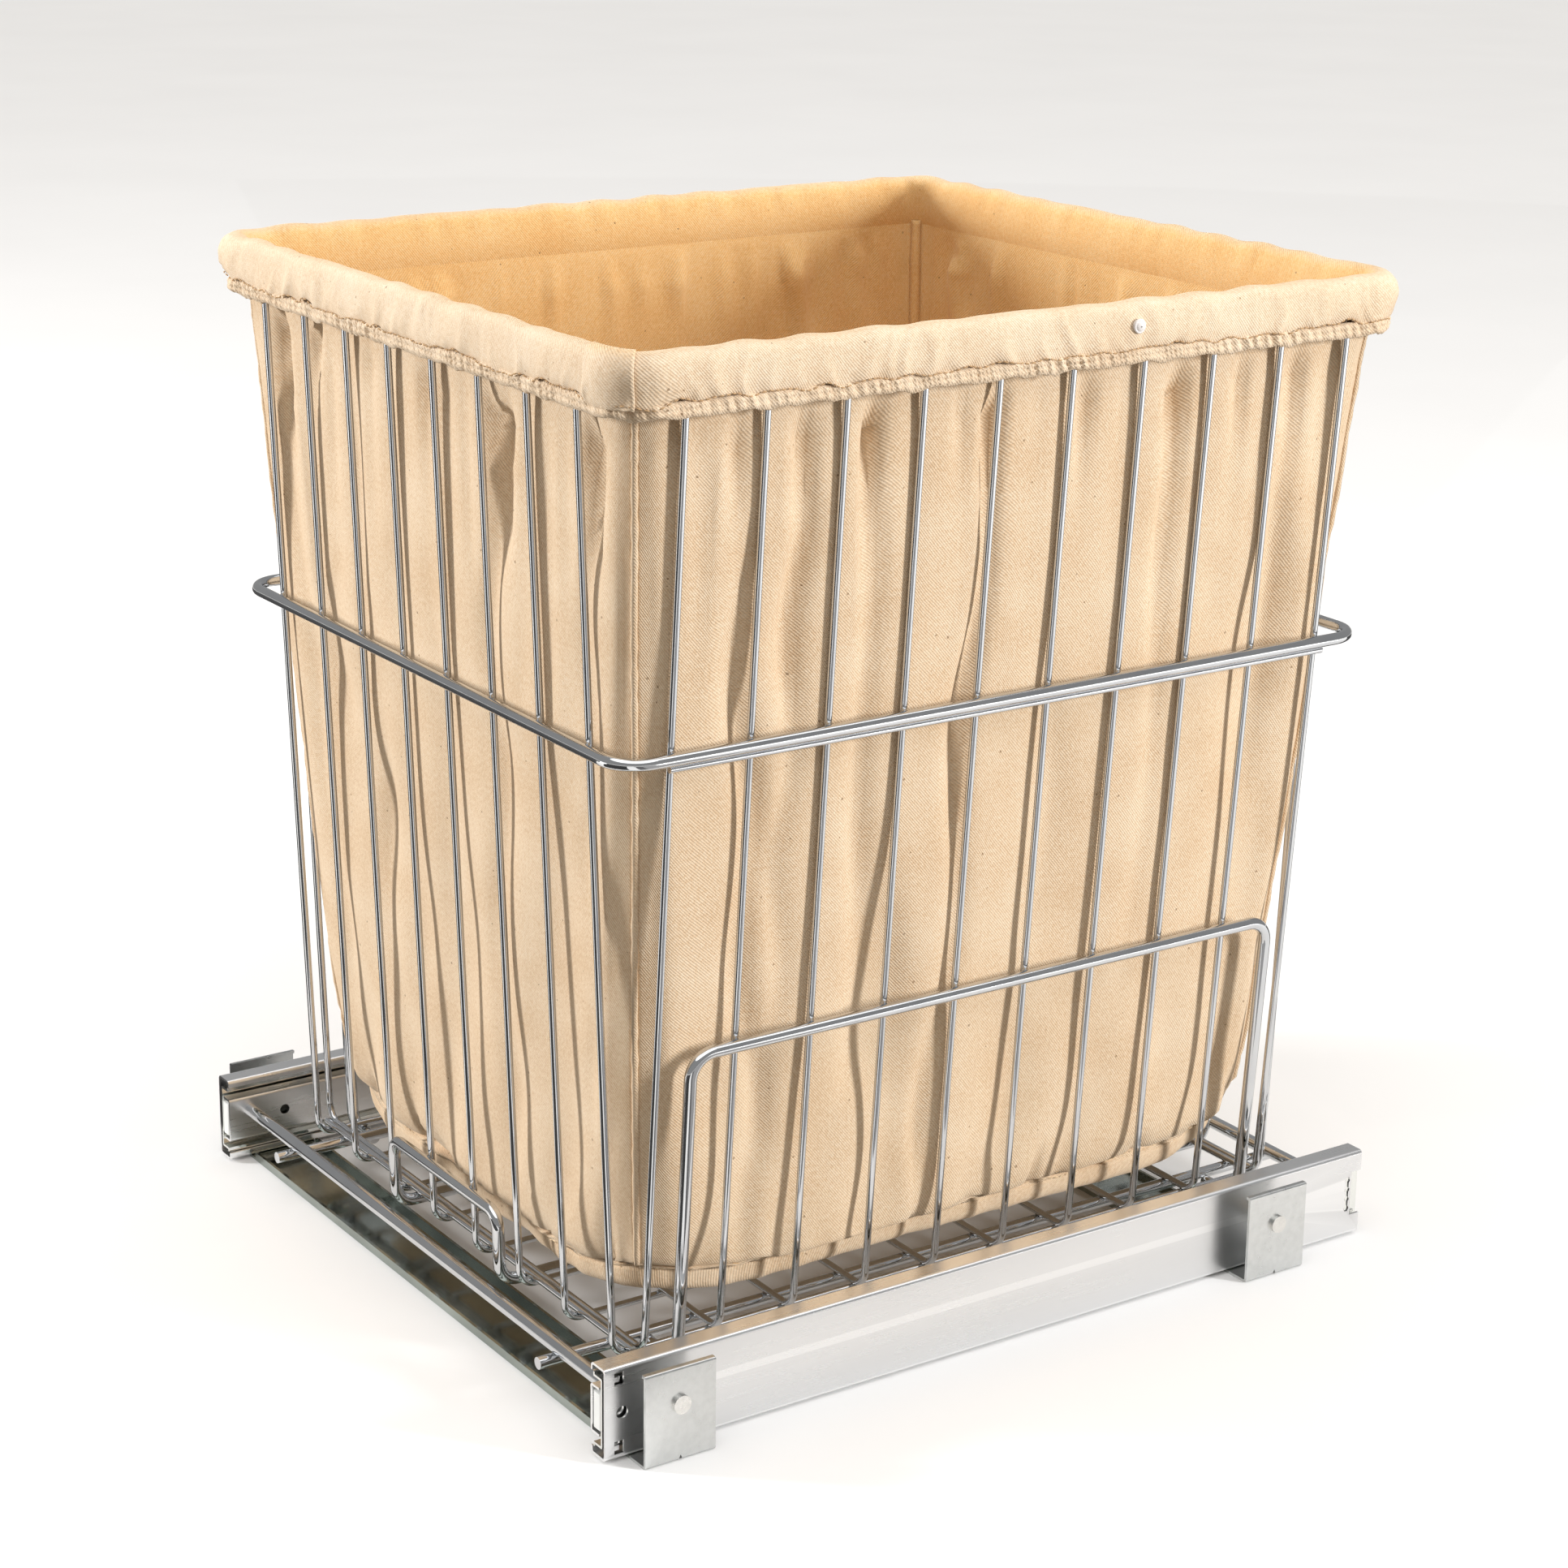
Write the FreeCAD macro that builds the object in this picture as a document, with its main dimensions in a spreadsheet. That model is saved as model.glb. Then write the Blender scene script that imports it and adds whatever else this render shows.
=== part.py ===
"""Pull-out wire laundry hamper with a lift-out canvas liner, on full-extension slides.

Frame: +Z up, the hamper pulls out along -Y, +X is its right-hand side.
The origin is on the cabinet floor, midway between the two slides and midway along them.
All sizes are in millimetres.
"""
import FreeCAD, Part
import math
import os

import Sketcher
from FreeCAD import Placement, Rotation, Vector

# Driving dimensions: alias -> millimetres (or a plain count or an angle in degrees).
SIZES = {
    # telescopic slides
    "slide_length": 457.0,
    "slide_height": 45.7,
    "slide_depth": 12.7,
    "slide_outer_x": 203.0,        # outer face of the right slide
    "slide_sheet": 1.2,
    "flange_depth": 12.2,
    "cabinet_lip": 3.95,
    "middle_sheet": 1.1,
    "middle_web": 2.6,             # outer face of the middle member's web, in from the slide's face
    "middle_depth": 10.2,
    "middle_lip": 1.15,
    "drawer_depth": 5.4,           # free edge of the drawer member's flanges
    "race_gap": 4.2,               # between two members' ball tracks
    "ball_size": 3.9,
    "ball_pitch": 22.0,
    "balls_per_row": 8,
    "cage_sheet": 0.6,
    "cage_length": 180.0,
    "cage_hole": 4.1,
    "outer_cage_web": 1.6,
    "outer_cage_depth": 9.6,
    "outer_ball_depth": 6.6,
    "inner_cage_web": 4.1,
    "inner_cage_depth": 10.6,
    "inner_ball_depth": 8.0,
    "stop_length": 12.0,
    "stop_height": 18.0,
    "stop_near": 3.7,
    "stop_far": 10.9,
    # radii of the slide members' bends, and of the end stop's corners
    "cabinet_bend": 2.0,
    "cabinet_bend_inside": 0.9,
    "middle_bend": 1.0,
    "drawer_bend": 1.5,
    "tight_bend_inside": 0.5,
    "stop_corner": 1.5,
    # holes punched in the slide members
    "front_hole": 6.2,
    "front_hole_back": 9.0,
    "tab_hole_back": 7.4,
    "tab_hole_length": 5.0,
    "tab_hole_height": 6.4,
    "tab_hole_rise": 17.0,
    "tab_tongue": 2.4,
    "drawer_hole": 5.5,
    "drawer_hole_back": 32.5,
    "notch_length": 6.5,
    "notch_height": 24.0,
    "slot_back": 9.0,
    "slot_width": 2.0,
    "slot_height": 19.0,
    "slot_scallop": 3.2,
    "slot_scallops": 4,
    # cross channels under the slides
    "channel_sheet": 1.5,
    "channel_width": 37.5,
    "channel_front_y": -197.0,
    "channel_rear_y": 159.0,
    "channel_edge_height": 4.5,
    "channel_edge_inset": 3.0,
    "channel_bend": 2.0,
    "channel_bend_inside": 0.6,
    "plate_lip_bend": 1.2,
    "plate_gap": 12.3,
    "plate_top": 46.5,
    "plate_lip": 3.0,
    "plate_notch": 4.0,
    "rivet_head": 9.0,
    "rivet_head_depth": 1.8,
    "rivet_shank": 5.0,
    "rivet_hole": 5.1,
    "rivet_z": 28.5,
    "spacer_size": 8.0,
    # bars and rods welded to the drawer members
    "bar_size": 7.0,
    "bar_y": 216.0,
    "bar_z": 28.5,
    "rod_size": 6.0,
    "rod_x": 138.0,
    "rod_reach": 226.0,
    # wire basket
    "weld": 0.2,                   # how far two welded wires sink into each other
    "wire_size": 3.6,
    "basket_y": 5.0,               # middle of the basket along Y
    "floor_half_x": 161.6,
    "floor_half_y": 199.0,
    "rim_half_x": 195.5,
    "rim_half_y": 217.2,
    "rim_z": 500.0,
    "bend_radius": 9.0,
    "long_wires": 8,
    "long_wire_reach": 152.5,
    "cross_wires": 10,
    "cross_wire_reach": 187.5,
    "crook_turn": 15.0,
    "crook_wire_reach": 158.0,
    "rim_size": 6.0,
    "rim_corner": 20.0,
    "ring_size": 6.0,
    "ring_corner": 17.0,
    "ring_z": 322.0,
    "stay_overhang": 2.5,          # how far the ring's stays pass the middle of the end wires
    "loop_size": 6.2,
    "side_loop_reach": 172.0,
    "side_loop_top": 176.0,
    "side_loop_corner": 12.0,
    "side_loop_bend": 8.0,
    "front_loop_reach": 54.0,
    "front_loop_top": 58.5,
    "front_loop_corner": 8.0,
    "front_loop_bend": 10.0,
    # canvas liner
    "cloth": 1.2,
    "casing_centre": -0.4,         # middle of the folded casing, measured out from the rim wire
    "casing_gap": 9.0,
    "casing_roof": 0.4,            # clearance over the rim wire
    "casing_bottom": 481.0,
    "elastic_bottom": 475.0,
    "elastic_thickness": 2.0,
    "bag_floor": 36.0,
    "bag_shoulder": 52.0,
    "bag_floor_half_x": 138.0,
    "bag_floor_half_y": 174.0,
    "bag_shoulder_half_x": 150.0,
    "bag_shoulder_half_y": 187.0,
    "bag_corner": 32.0,
    "snap_size": 7.0,
    "snap_depth": 1.4,
    "snap_y": 56.0,
    "snap_z": 494.0,
}

SAME_PLACE = 0.01                  # millimetres; two places closer than this are the same
SAME_DIRECTION = 0.999             # cosine; two unit vectors above this are parallel
SMALLEST_CUT = 0.5                 # cubic millimetres; a real cut removes more than this
SWEEP_ERROR = 0.002                # share that a sweep's volume may be off from length times section
CLEAR = 1.0                        # millimetres that a cut starts or ends outside the metal


class Size:
    """A length that carries its value and the spreadsheet formula it comes from."""

    def __init__(self, value, formula):
        self.value = float(value)
        self.formula = formula

    @staticmethod
    def of(other):
        return other if isinstance(other, Size) else Size(other, "%.9g" % other)

    def joined(self, other, sign, value):
        return Size(value, "(%s %s %s)" % (self.formula, sign, Size.of(other).formula))

    def __add__(self, other):
        return self.joined(other, "+", self.value + Size.of(other).value)

    def __sub__(self, other):
        return self.joined(other, "-", self.value - Size.of(other).value)

    def __mul__(self, other):
        return self.joined(other, "*", self.value * Size.of(other).value)

    def __truediv__(self, other):
        return self.joined(other, "/", self.value / Size.of(other).value)

    def __neg__(self):
        return Size(0, "0") - self

    def __rsub__(self, other):
        return Size.of(other) - self


class Sheet:
    """The spreadsheet of driving dimensions; each alias is read as an attribute."""

    def __init__(self, document, sizes):
        cells = document.addObject("Spreadsheet::Sheet", "Sizes")
        for row, (alias, value) in enumerate(sizes.items(), start=1):
            cells.set("A%d" % row, alias)
            cells.set("B%d" % row, "%g" % value)
            cells.setAlias("B%d" % row, alias)
        document.recompute()
        for alias in sizes:
            setattr(self, alias, Size(getattr(cells, alias), "Sizes." + alias))


doc = FreeCAD.newDocument("laundry_hamper")
sheet = Sheet(doc, SIZES)
subparts = []


def finish_subpart(thing, label):
    """Gives a document object its node name and lists it for writing."""
    thing.Label = label
    subparts.append(thing)
    return thing


def bind(thing, **sizes):
    """Binds properties of a document object to spreadsheet formulas."""
    for name, size in sizes.items():
        setattr(thing, name, size.value)
        thing.setExpression(name, size.formula)


def bind_base(thing, x=0, y=0, z=0, rotation=None):
    """Places a document object, with its position bound to the sheet."""
    place = [Size.of(x), Size.of(y), Size.of(z)]
    thing.Placement = Placement(Vector(*[size.value for size in place]), rotation or Rotation())
    for axis, size in zip("xyz", place):
        thing.setExpression(".Placement.Base." + axis, size.formula)


# ---------------------------------------------------------------- sketches and bodies

def new_body(label):
    body = doc.addObject("PartDesign::Body", label)
    return finish_subpart(body, label)


def new_sketch(body, plane_role, offset=0):
    """A sketch on one of the body's origin planes, moved along the plane's normal."""
    sketch = body.newObject("Sketcher::SketchObject", "Sketch")
    plane = [part for part in body.Origin.OriginFeatures if part.Role == plane_role][0]
    sketch.AttachmentSupport = [(plane, "")]
    sketch.MapMode = "FlatFace"
    offset = Size.of(offset)
    sketch.AttachmentOffset = Placement(Vector(0, 0, offset.value), Rotation())
    sketch.setExpression(".AttachmentOffset.Base.z", offset.formula)
    return sketch


def pin_point(sketch, geometry, point, x, y):
    """Fixes one point of a sketch at sheet-driven coordinates."""
    for kind, size in (("DistanceX", Size.of(x)), ("DistanceY", Size.of(y))):
        index = sketch.addConstraint(Sketcher.Constraint(kind, -1, 1, geometry, point, size.value))
        sketch.setExpression("Constraints[%d]" % index, size.formula)


def add_outline(sketch, points):
    """A closed straight-sided outline through sheet-driven points."""
    corners = [(Size.of(x), Size.of(y)) for x, y in points]
    places = [Vector(x.value, y.value, 0) for x, y in corners]
    first = sketch.GeometryCount
    count = len(corners)
    for here in range(count):
        sketch.addGeometry(Part.LineSegment(places[here], places[(here + 1) % count]))
    for here in range(count):
        following = first + (here + 1) % count
        sketch.addConstraint(Sketcher.Constraint("Coincident", first + here, 2, following, 1))
    for here, (x, y) in enumerate(corners):
        pin_point(sketch, first + here, 1, x, y)


def add_box_outline(sketch, low_x, high_x, low_y, high_y):
    add_outline(sketch, [(low_x, low_y), (high_x, low_y), (high_x, high_y), (low_x, high_y)])


def add_circle(sketch, x, y, diameter):
    x, y, diameter = Size.of(x), Size.of(y), Size.of(diameter)
    circle = Part.Circle(Vector(x.value, y.value, 0), Vector(0, 0, 1), diameter.value / 2)
    index = sketch.addGeometry(circle)
    pin_point(sketch, index, 3, x, y)
    rule = sketch.addConstraint(Sketcher.Constraint("Diameter", index, diameter.value))
    sketch.setExpression("Constraints[%d]" % rule, diameter.formula)


def fix_radius(sketch, arc, radius):
    rule = sketch.addConstraint(Sketcher.Constraint("Radius", arc, radius.value))
    sketch.setExpression("Constraints[%d]" % rule, radius.formula)


def add_round_box(sketch, half_x, half_y, centre_y, radius):
    """A rounded rectangle centred on x = 0 and y = centre_y."""
    right, top = half_x.value, centre_y.value + half_y.value
    left, bottom = -right, centre_y.value - half_y.value
    bend = radius.value
    quarter = math.pi / 2
    first = sketch.GeometryCount
    # Each side's start and end, the middle of the arc after it, and that arc's first quarter turn.
    sides = [
        ((left + bend, bottom), (right - bend, bottom), (right - bend, bottom + bend), 3),
        ((right, bottom + bend), (right, top - bend), (right - bend, top - bend), 0),
        ((right - bend, top), (left + bend, top), (left + bend, top - bend), 1),
        ((left, top - bend), (left, bottom + bend), (left + bend, bottom + bend), 2),
    ]
    for start, end, middle, turn in sides:
        sketch.addGeometry(Part.LineSegment(Vector(*start, 0), Vector(*end, 0)))
        circle = Part.Circle(Vector(*middle, 0), Vector(0, 0, 1), bend)
        sketch.addGeometry(Part.ArcOfCircle(circle, turn * quarter, (turn + 1) * quarter))
    for side in range(4):
        line = first + 2 * side
        following = first + (2 * side + 2) % 8
        sketch.addConstraint(Sketcher.Constraint("Tangent", line, 2, line + 1, 1))
        sketch.addConstraint(Sketcher.Constraint("Tangent", line + 1, 2, following, 1))
        fix_radius(sketch, line + 1, radius)
        straight = "Horizontal" if side % 2 == 0 else "Vertical"
        sketch.addConstraint(Sketcher.Constraint(straight, line))
    edges = [("DistanceY", 0, centre_y - half_y), ("DistanceX", 2, half_x),
             ("DistanceY", 4, centre_y + half_y), ("DistanceX", 6, -half_x)]
    for kind, line, size in edges:
        rule = sketch.addConstraint(Sketcher.Constraint(kind, -1, 1, first + line, 1, size.value))
        sketch.setExpression("Constraints[%d]" % rule, size.formula)


def pad(body, sketch, length, both_ways=False):
    feature = body.newObject("PartDesign::Pad", "Pad")
    feature.Profile = sketch
    bind(feature, Length=Size.of(length))
    feature.Midplane = both_ways
    return feature


def pocket(body, sketch, depth, both_ways=False, reverse=False):
    """Cuts a sketch into the body and makes sure that it removed material."""
    doc.recompute()
    before = body.Shape.Volume
    feature = body.newObject("PartDesign::Pocket", "Pocket")
    feature.Profile = sketch
    bind(feature, Length=Size.of(depth))
    feature.Midplane = both_ways
    feature.Reversed = reverse
    doc.recompute()
    if not body.Shape.Volume < before - SMALLEST_CUT:
        raise RuntimeError("a pocket in %s cut nothing" % body.Label)
    return feature


def fillet(body, radius, chosen):
    """Rounds the edges of the body's last feature whose centres pass a test."""
    doc.recompute()
    base = body.Tip
    names = [name for name, edge in zip(edge_names(base), base.Shape.Edges) if chosen(edge)]
    feature = body.newObject("PartDesign::Fillet", "Fillet")
    feature.Base = (base, names)
    bind(feature, Radius=radius)
    return feature


def edge_names(feature):
    return ["Edge%d" % number for number in range(1, len(feature.Shape.Edges) + 1)]


def runs_along(edge, direction):
    """True for a straight edge that runs along a direction."""
    if not isinstance(edge.Curve, Part.Line):
        return False
    return abs(edge.tangentAt(edge.FirstParameter).dot(direction)) > SAME_DIRECTION


def mirrored(source, label):
    """The left-hand twin of a right-hand piece."""
    twin = doc.addObject("Part::Mirroring", label)
    twin.Source = source
    twin.Normal = (1, 0, 0)
    return finish_subpart(twin, label)


# ---------------------------------------------------------------- slides

slide_bottom = sheet.channel_sheet
slide_z = slide_bottom + sheet.slide_height / 2
front_end = -(sheet.slide_length / 2)
rear_end = sheet.slide_length / 2

# Half-heights of the ball tracks, from the outside in.
cabinet_half = sheet.slide_height / 2
cabinet_track = cabinet_half - sheet.slide_sheet
middle_track = cabinet_track - sheet.race_gap
middle_inside = middle_track - sheet.middle_sheet
drawer_track = middle_inside - sheet.race_gap
outer_ball_rise = cabinet_track - sheet.race_gap / 2
inner_ball_rise = middle_inside - sheet.race_gap / 2

# Deep enough to cut through a member's web, but not to reach anything behind it.
through_web = sheet.slide_sheet * 1.5


def from_face(depth):
    """X of a point this deep inside the right slide, from its outer face."""
    return sheet.slide_outer_x - depth


def profile_outline(half_outline):
    """Mirrors the upper half of a slide section about the slide's middle height."""
    upper = [(from_face(depth), slide_z + rise) for depth, rise in half_outline]
    lower = [(from_face(depth), slide_z - rise) for depth, rise in reversed(half_outline)]
    return upper + lower


def slide_body(label, half_outline, length):
    """A rolled section that runs along the slide, centred on the slide's length."""
    body = new_body(label)
    sketch = new_sketch(body, "XZ_Plane")
    add_outline(sketch, profile_outline(half_outline))
    pad(body, sketch, length, both_ways=True)
    return body


def round_section(body, radius, depth, rise):
    """Rounds the two lengthwise edges at this depth and rise of a slide section."""
    x = from_face(depth).value

    def chosen(edge):
        centre = edge.CenterOfMass
        at_depth = abs(centre.x - x) < SAME_PLACE
        at_rise = abs(abs(centre.z - slide_z.value) - rise.value) < SAME_PLACE
        return at_depth and at_rise and runs_along(edge, Vector(0, 1, 0))

    fillet(body, radius, chosen)


def web_sketch(body, depth=0):
    """A sketch on the slide's outer face, in Y and Z."""
    return new_sketch(body, "YZ_Plane", from_face(depth))


def cabinet_member():
    """The outer member: a web with curled flanges, punched at both ends."""
    sheet_metal = sheet.slide_sheet
    lip_start = sheet.flange_depth - sheet_metal
    body = slide_body("cabinet_member_right", [
        (Size.of(0), cabinet_half), (sheet.flange_depth, cabinet_half),
        (sheet.flange_depth, cabinet_half - sheet.cabinet_lip), (lip_start, cabinet_half - sheet.cabinet_lip),
        (lip_start, cabinet_track), (sheet_metal, cabinet_track)], sheet.slide_length)
    round_section(body, sheet.cabinet_bend, Size.of(0), cabinet_half)
    round_section(body, sheet.cabinet_bend_inside, sheet_metal, cabinet_track)
    round_section(body, sheet.cabinet_bend, sheet.flange_depth, cabinet_half)
    round_section(body, sheet.cabinet_bend_inside, lip_start, cabinet_track)
    punch_front(body)
    punch_rear(body)
    drill_rivet_holes(body)
    return body


def punch_front(body):
    """A round fixing hole and two holes, each with a tongue left standing in it."""
    sketch = web_sketch(body)
    add_circle(sketch, front_end + sheet.front_hole_back, slide_z, sheet.front_hole)
    low_y = front_end + sheet.tab_hole_back - sheet.tab_hole_length / 2
    high_y = low_y + sheet.tab_hole_length
    tongue_y = low_y + sheet.tab_tongue
    for side in (-1, 1):
        centre = slide_z + sheet.tab_hole_rise * side
        bottom = centre - sheet.tab_hole_height / 2
        top = centre + sheet.tab_hole_height / 2
        tongue_low = centre - sheet.tab_tongue / 2
        tongue_high = centre + sheet.tab_tongue / 2
        around_hole = [(low_y, bottom), (high_y, bottom), (high_y, top), (low_y, top)]
        around_tongue = [(low_y, tongue_high), (tongue_y, tongue_high),
                         (tongue_y, tongue_low), (low_y, tongue_low)]
        add_outline(sketch, around_hole + around_tongue)
    pocket(body, sketch, through_web)


def punch_rear(body):
    """A square notch in the end of the web, and a scalloped slot beside it."""
    sketch = web_sketch(body)
    add_box_outline(sketch, rear_end - sheet.notch_length, rear_end + CLEAR,
                    slide_z - sheet.notch_height / 2, slide_z + sheet.notch_height / 2)
    pocket(body, sketch, through_web)
    slot_y = rear_end - sheet.slot_back
    sketch = web_sketch(body)
    add_box_outline(sketch, slot_y - sheet.slot_width / 2, slot_y + sheet.slot_width / 2,
                    slide_z - sheet.slot_height / 2, slide_z + sheet.slot_height / 2)
    pocket(body, sketch, through_web)
    pitch = (sheet.slot_height - sheet.slot_scallop) / (sheet.slot_scallops - 1)
    lowest = slide_z - (sheet.slot_height - sheet.slot_scallop) / 2
    sketch = web_sketch(body)
    for step in range(SIZES["slot_scallops"]):
        add_circle(sketch, slot_y, lowest + pitch * step, sheet.slot_scallop)
    pocket(body, sketch, through_web)


def drill_rivet_holes(body):
    sketch = web_sketch(body)
    for y in (sheet.channel_front_y, sheet.channel_rear_y):
        add_circle(sketch, y, sheet.rivet_z, sheet.rivet_hole)
    pocket(body, sketch, through_web)


def middle_member():
    """The middle member runs on the outer balls and carries the inner ones."""
    inside = sheet.middle_web + sheet.middle_sheet
    lip_start = sheet.middle_depth - sheet.middle_sheet
    body = slide_body("middle_member_right", [
        (sheet.middle_web, middle_track), (lip_start, middle_track),
        (lip_start, middle_track + sheet.middle_lip), (sheet.middle_depth, middle_track + sheet.middle_lip),
        (sheet.middle_depth, middle_inside), (inside, middle_inside)], sheet.slide_length)
    round_section(body, sheet.middle_bend, sheet.middle_web, middle_track)
    round_section(body, sheet.tight_bend_inside, inside, middle_inside)
    return body


def drawer_member():
    """The inner member, which the basket's two bars are welded to."""
    inside = sheet.slide_depth - sheet.slide_sheet
    body = slide_body("drawer_member_right", [
        (inside, drawer_track - sheet.slide_sheet), (sheet.drawer_depth, drawer_track - sheet.slide_sheet),
        (sheet.drawer_depth, drawer_track), (sheet.slide_depth, drawer_track)], sheet.slide_length)
    round_section(body, sheet.drawer_bend, sheet.slide_depth, drawer_track)
    round_section(body, sheet.tight_bend_inside, inside, drawer_track - sheet.slide_sheet)
    sketch = web_sketch(body, inside)
    add_circle(sketch, front_end + sheet.drawer_hole_back, slide_z, sheet.drawer_hole)
    pocket(body, sketch, through_web)
    return body


def end_stop():
    """A nylon block in the front end of the middle member, inside the drawer member's section."""
    body = new_body("end_stop_right")
    sketch = new_sketch(body, "XZ_Plane", -(front_end + sheet.stop_length / 2))
    add_box_outline(sketch, from_face(sheet.stop_far), from_face(sheet.stop_near),
                    slide_z - sheet.stop_height / 2, slide_z + sheet.stop_height / 2)
    pad(body, sketch, sheet.stop_length, both_ways=True)

    def upright_at_front(edge):
        at_front = edge.CenterOfMass.y < front_end.value + SAME_PLACE
        return at_front and runs_along(edge, Vector(0, 0, 1))

    fillet(body, sheet.stop_corner, upright_at_front)
    return body


def ball_cage(label, web, depth, ball_depth, ball_rise):
    """A C-shaped retainer with a row of round windows along its top and bottom strips."""
    half_sheet = sheet.cage_sheet / 2
    inside = web + sheet.cage_sheet
    body = slide_body(label, [
        (web, ball_rise + half_sheet), (depth, ball_rise + half_sheet),
        (depth, ball_rise - half_sheet), (inside, ball_rise - half_sheet)], sheet.cage_length)
    sketch = new_sketch(body, "XY_Plane", slide_z)
    for y in ball_places():
        add_circle(sketch, from_face(ball_depth), y, sheet.cage_hole)
    pocket(body, sketch, sheet.slide_height, both_ways=True)
    return body


def ball_places():
    """Y of each ball in a row, centred on the slide."""
    middle = (sheet.balls_per_row - 1) / 2
    return [(step - middle) * sheet.ball_pitch for step in range(SIZES["balls_per_row"])]


def ball_set(label, ball_depth, ball_rise):
    """The loose balls of one cage: a row above and a row below."""
    balls = []
    for rise in (ball_rise, -ball_rise):
        for y in ball_places():
            ball = doc.addObject("Part::Sphere", "Ball")
            bind(ball, Radius=sheet.ball_size / 2)
            bind_base(ball, from_face(ball_depth), y, slide_z + rise)
            balls.append(ball)
    return group(label, balls)


def group(label, members):
    """Identical loose pieces that share one node as separate solids."""
    compound = doc.addObject("Part::Compound", label)
    compound.Links = members
    return finish_subpart(compound, label)


def both_slides():
    """Builds the right slide and mirrors every piece of it to the left."""
    right_pieces = [cabinet_member(), middle_member(), drawer_member(), end_stop()]
    for layer, web, depth, ball_depth, ball_rise in (
            ("outer", sheet.outer_cage_web, sheet.outer_cage_depth, sheet.outer_ball_depth, outer_ball_rise),
            ("inner", sheet.inner_cage_web, sheet.inner_cage_depth, sheet.inner_ball_depth, inner_ball_rise)):
        right_pieces.append(ball_cage(layer + "_ball_cage_right", web, depth, ball_depth, ball_rise))
        right_pieces.append(ball_set(layer + "_balls_right", ball_depth, ball_rise))
    for piece in right_pieces:
        mirrored(piece, piece.Label.replace("_right", "_left"))


# ---------------------------------------------------------------- cross channels

plate_inside_x = sheet.slide_outer_x + sheet.plate_gap
plate_outside_x = plate_inside_x + sheet.channel_sheet


def cross_channel(label, centre_y):
    """A folded strip under both slides, turned up outside them into two riveted plates."""
    body = new_body(label)
    sketch = new_sketch(body, "XZ_Plane", -centre_y)
    metal = sheet.channel_sheet
    lip_x = plate_outside_x - sheet.plate_lip
    lip_z = sheet.plate_top - metal
    right = [(plate_outside_x, Size.of(0)), (plate_outside_x, sheet.plate_top), (lip_x, sheet.plate_top),
             (lip_x, lip_z), (plate_inside_x, lip_z), (plate_inside_x, metal)]
    left = [(-x, z) for x, z in reversed(right)]
    add_outline(sketch, right + left)
    pad(body, sketch, sheet.channel_width, both_ways=True)
    round_folds(body, sheet.channel_bend, plate_outside_x, Size.of(0))
    round_folds(body, sheet.channel_bend_inside, plate_inside_x, metal)
    round_folds(body, sheet.plate_lip_bend, plate_outside_x, sheet.plate_top)
    turn_up_edges(body, centre_y)
    punch_plates(body, centre_y)
    return body


def round_folds(body, radius, x, z):
    """Rounds the fold lines at this height, at both ends of a channel."""
    def chosen(edge):
        centre = edge.CenterOfMass
        at_fold = abs(abs(centre.x) - x.value) < SAME_PLACE and abs(centre.z - z.value) < SAME_PLACE
        return at_fold and runs_along(edge, Vector(0, 1, 0))

    fillet(body, radius, chosen)


def turn_up_edges(body, centre_y):
    """Low upturned lips along both long edges, between the slides."""
    reach = sheet.slide_outer_x - sheet.slide_depth - sheet.channel_edge_inset
    front = centre_y - sheet.channel_width / 2
    rear = centre_y + sheet.channel_width / 2
    sketch = new_sketch(body, "XY_Plane")
    add_box_outline(sketch, -reach, reach, front, front + sheet.channel_sheet)
    add_box_outline(sketch, -reach, reach, rear - sheet.channel_sheet, rear)
    pad(body, sketch, sheet.channel_edge_height)


def punch_plates(body, centre_y):
    """Rivet holes, and a small locating notch in the bottom edge of each plate."""
    sketch = new_sketch(body, "YZ_Plane")
    add_circle(sketch, centre_y, sheet.rivet_z, sheet.rivet_hole)
    pocket(body, sketch, (plate_outside_x + CLEAR) * 2, both_ways=True)
    half = sheet.plate_notch / 2
    for outer_face, inwards_is_plus in ((plate_outside_x, False), (-plate_outside_x, True)):
        sketch = new_sketch(body, "YZ_Plane", outer_face)
        add_outline(sketch, [(centre_y - half, Size.of(-CLEAR)), (centre_y + half, Size.of(-CLEAR)),
                             (centre_y, sheet.plate_notch - CLEAR)])
        pocket(body, sketch, sheet.channel_sheet * 1.5, reverse=inwards_is_plus)


def cylinder(name, diameter, length, x, y, z, rotation=None):
    shape = doc.addObject("Part::Cylinder", name)
    bind(shape, Radius=Size.of(diameter) / 2, Height=Size.of(length))
    bind_base(shape, x, y, z, rotation)
    return shape


ALONG_X = Rotation(Vector(0, 1, 0), 90)
ALONG_MINUS_X = Rotation(Vector(0, 1, 0), -90)
ALONG_Y = Rotation(Vector(1, 0, 0), -90)


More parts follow.
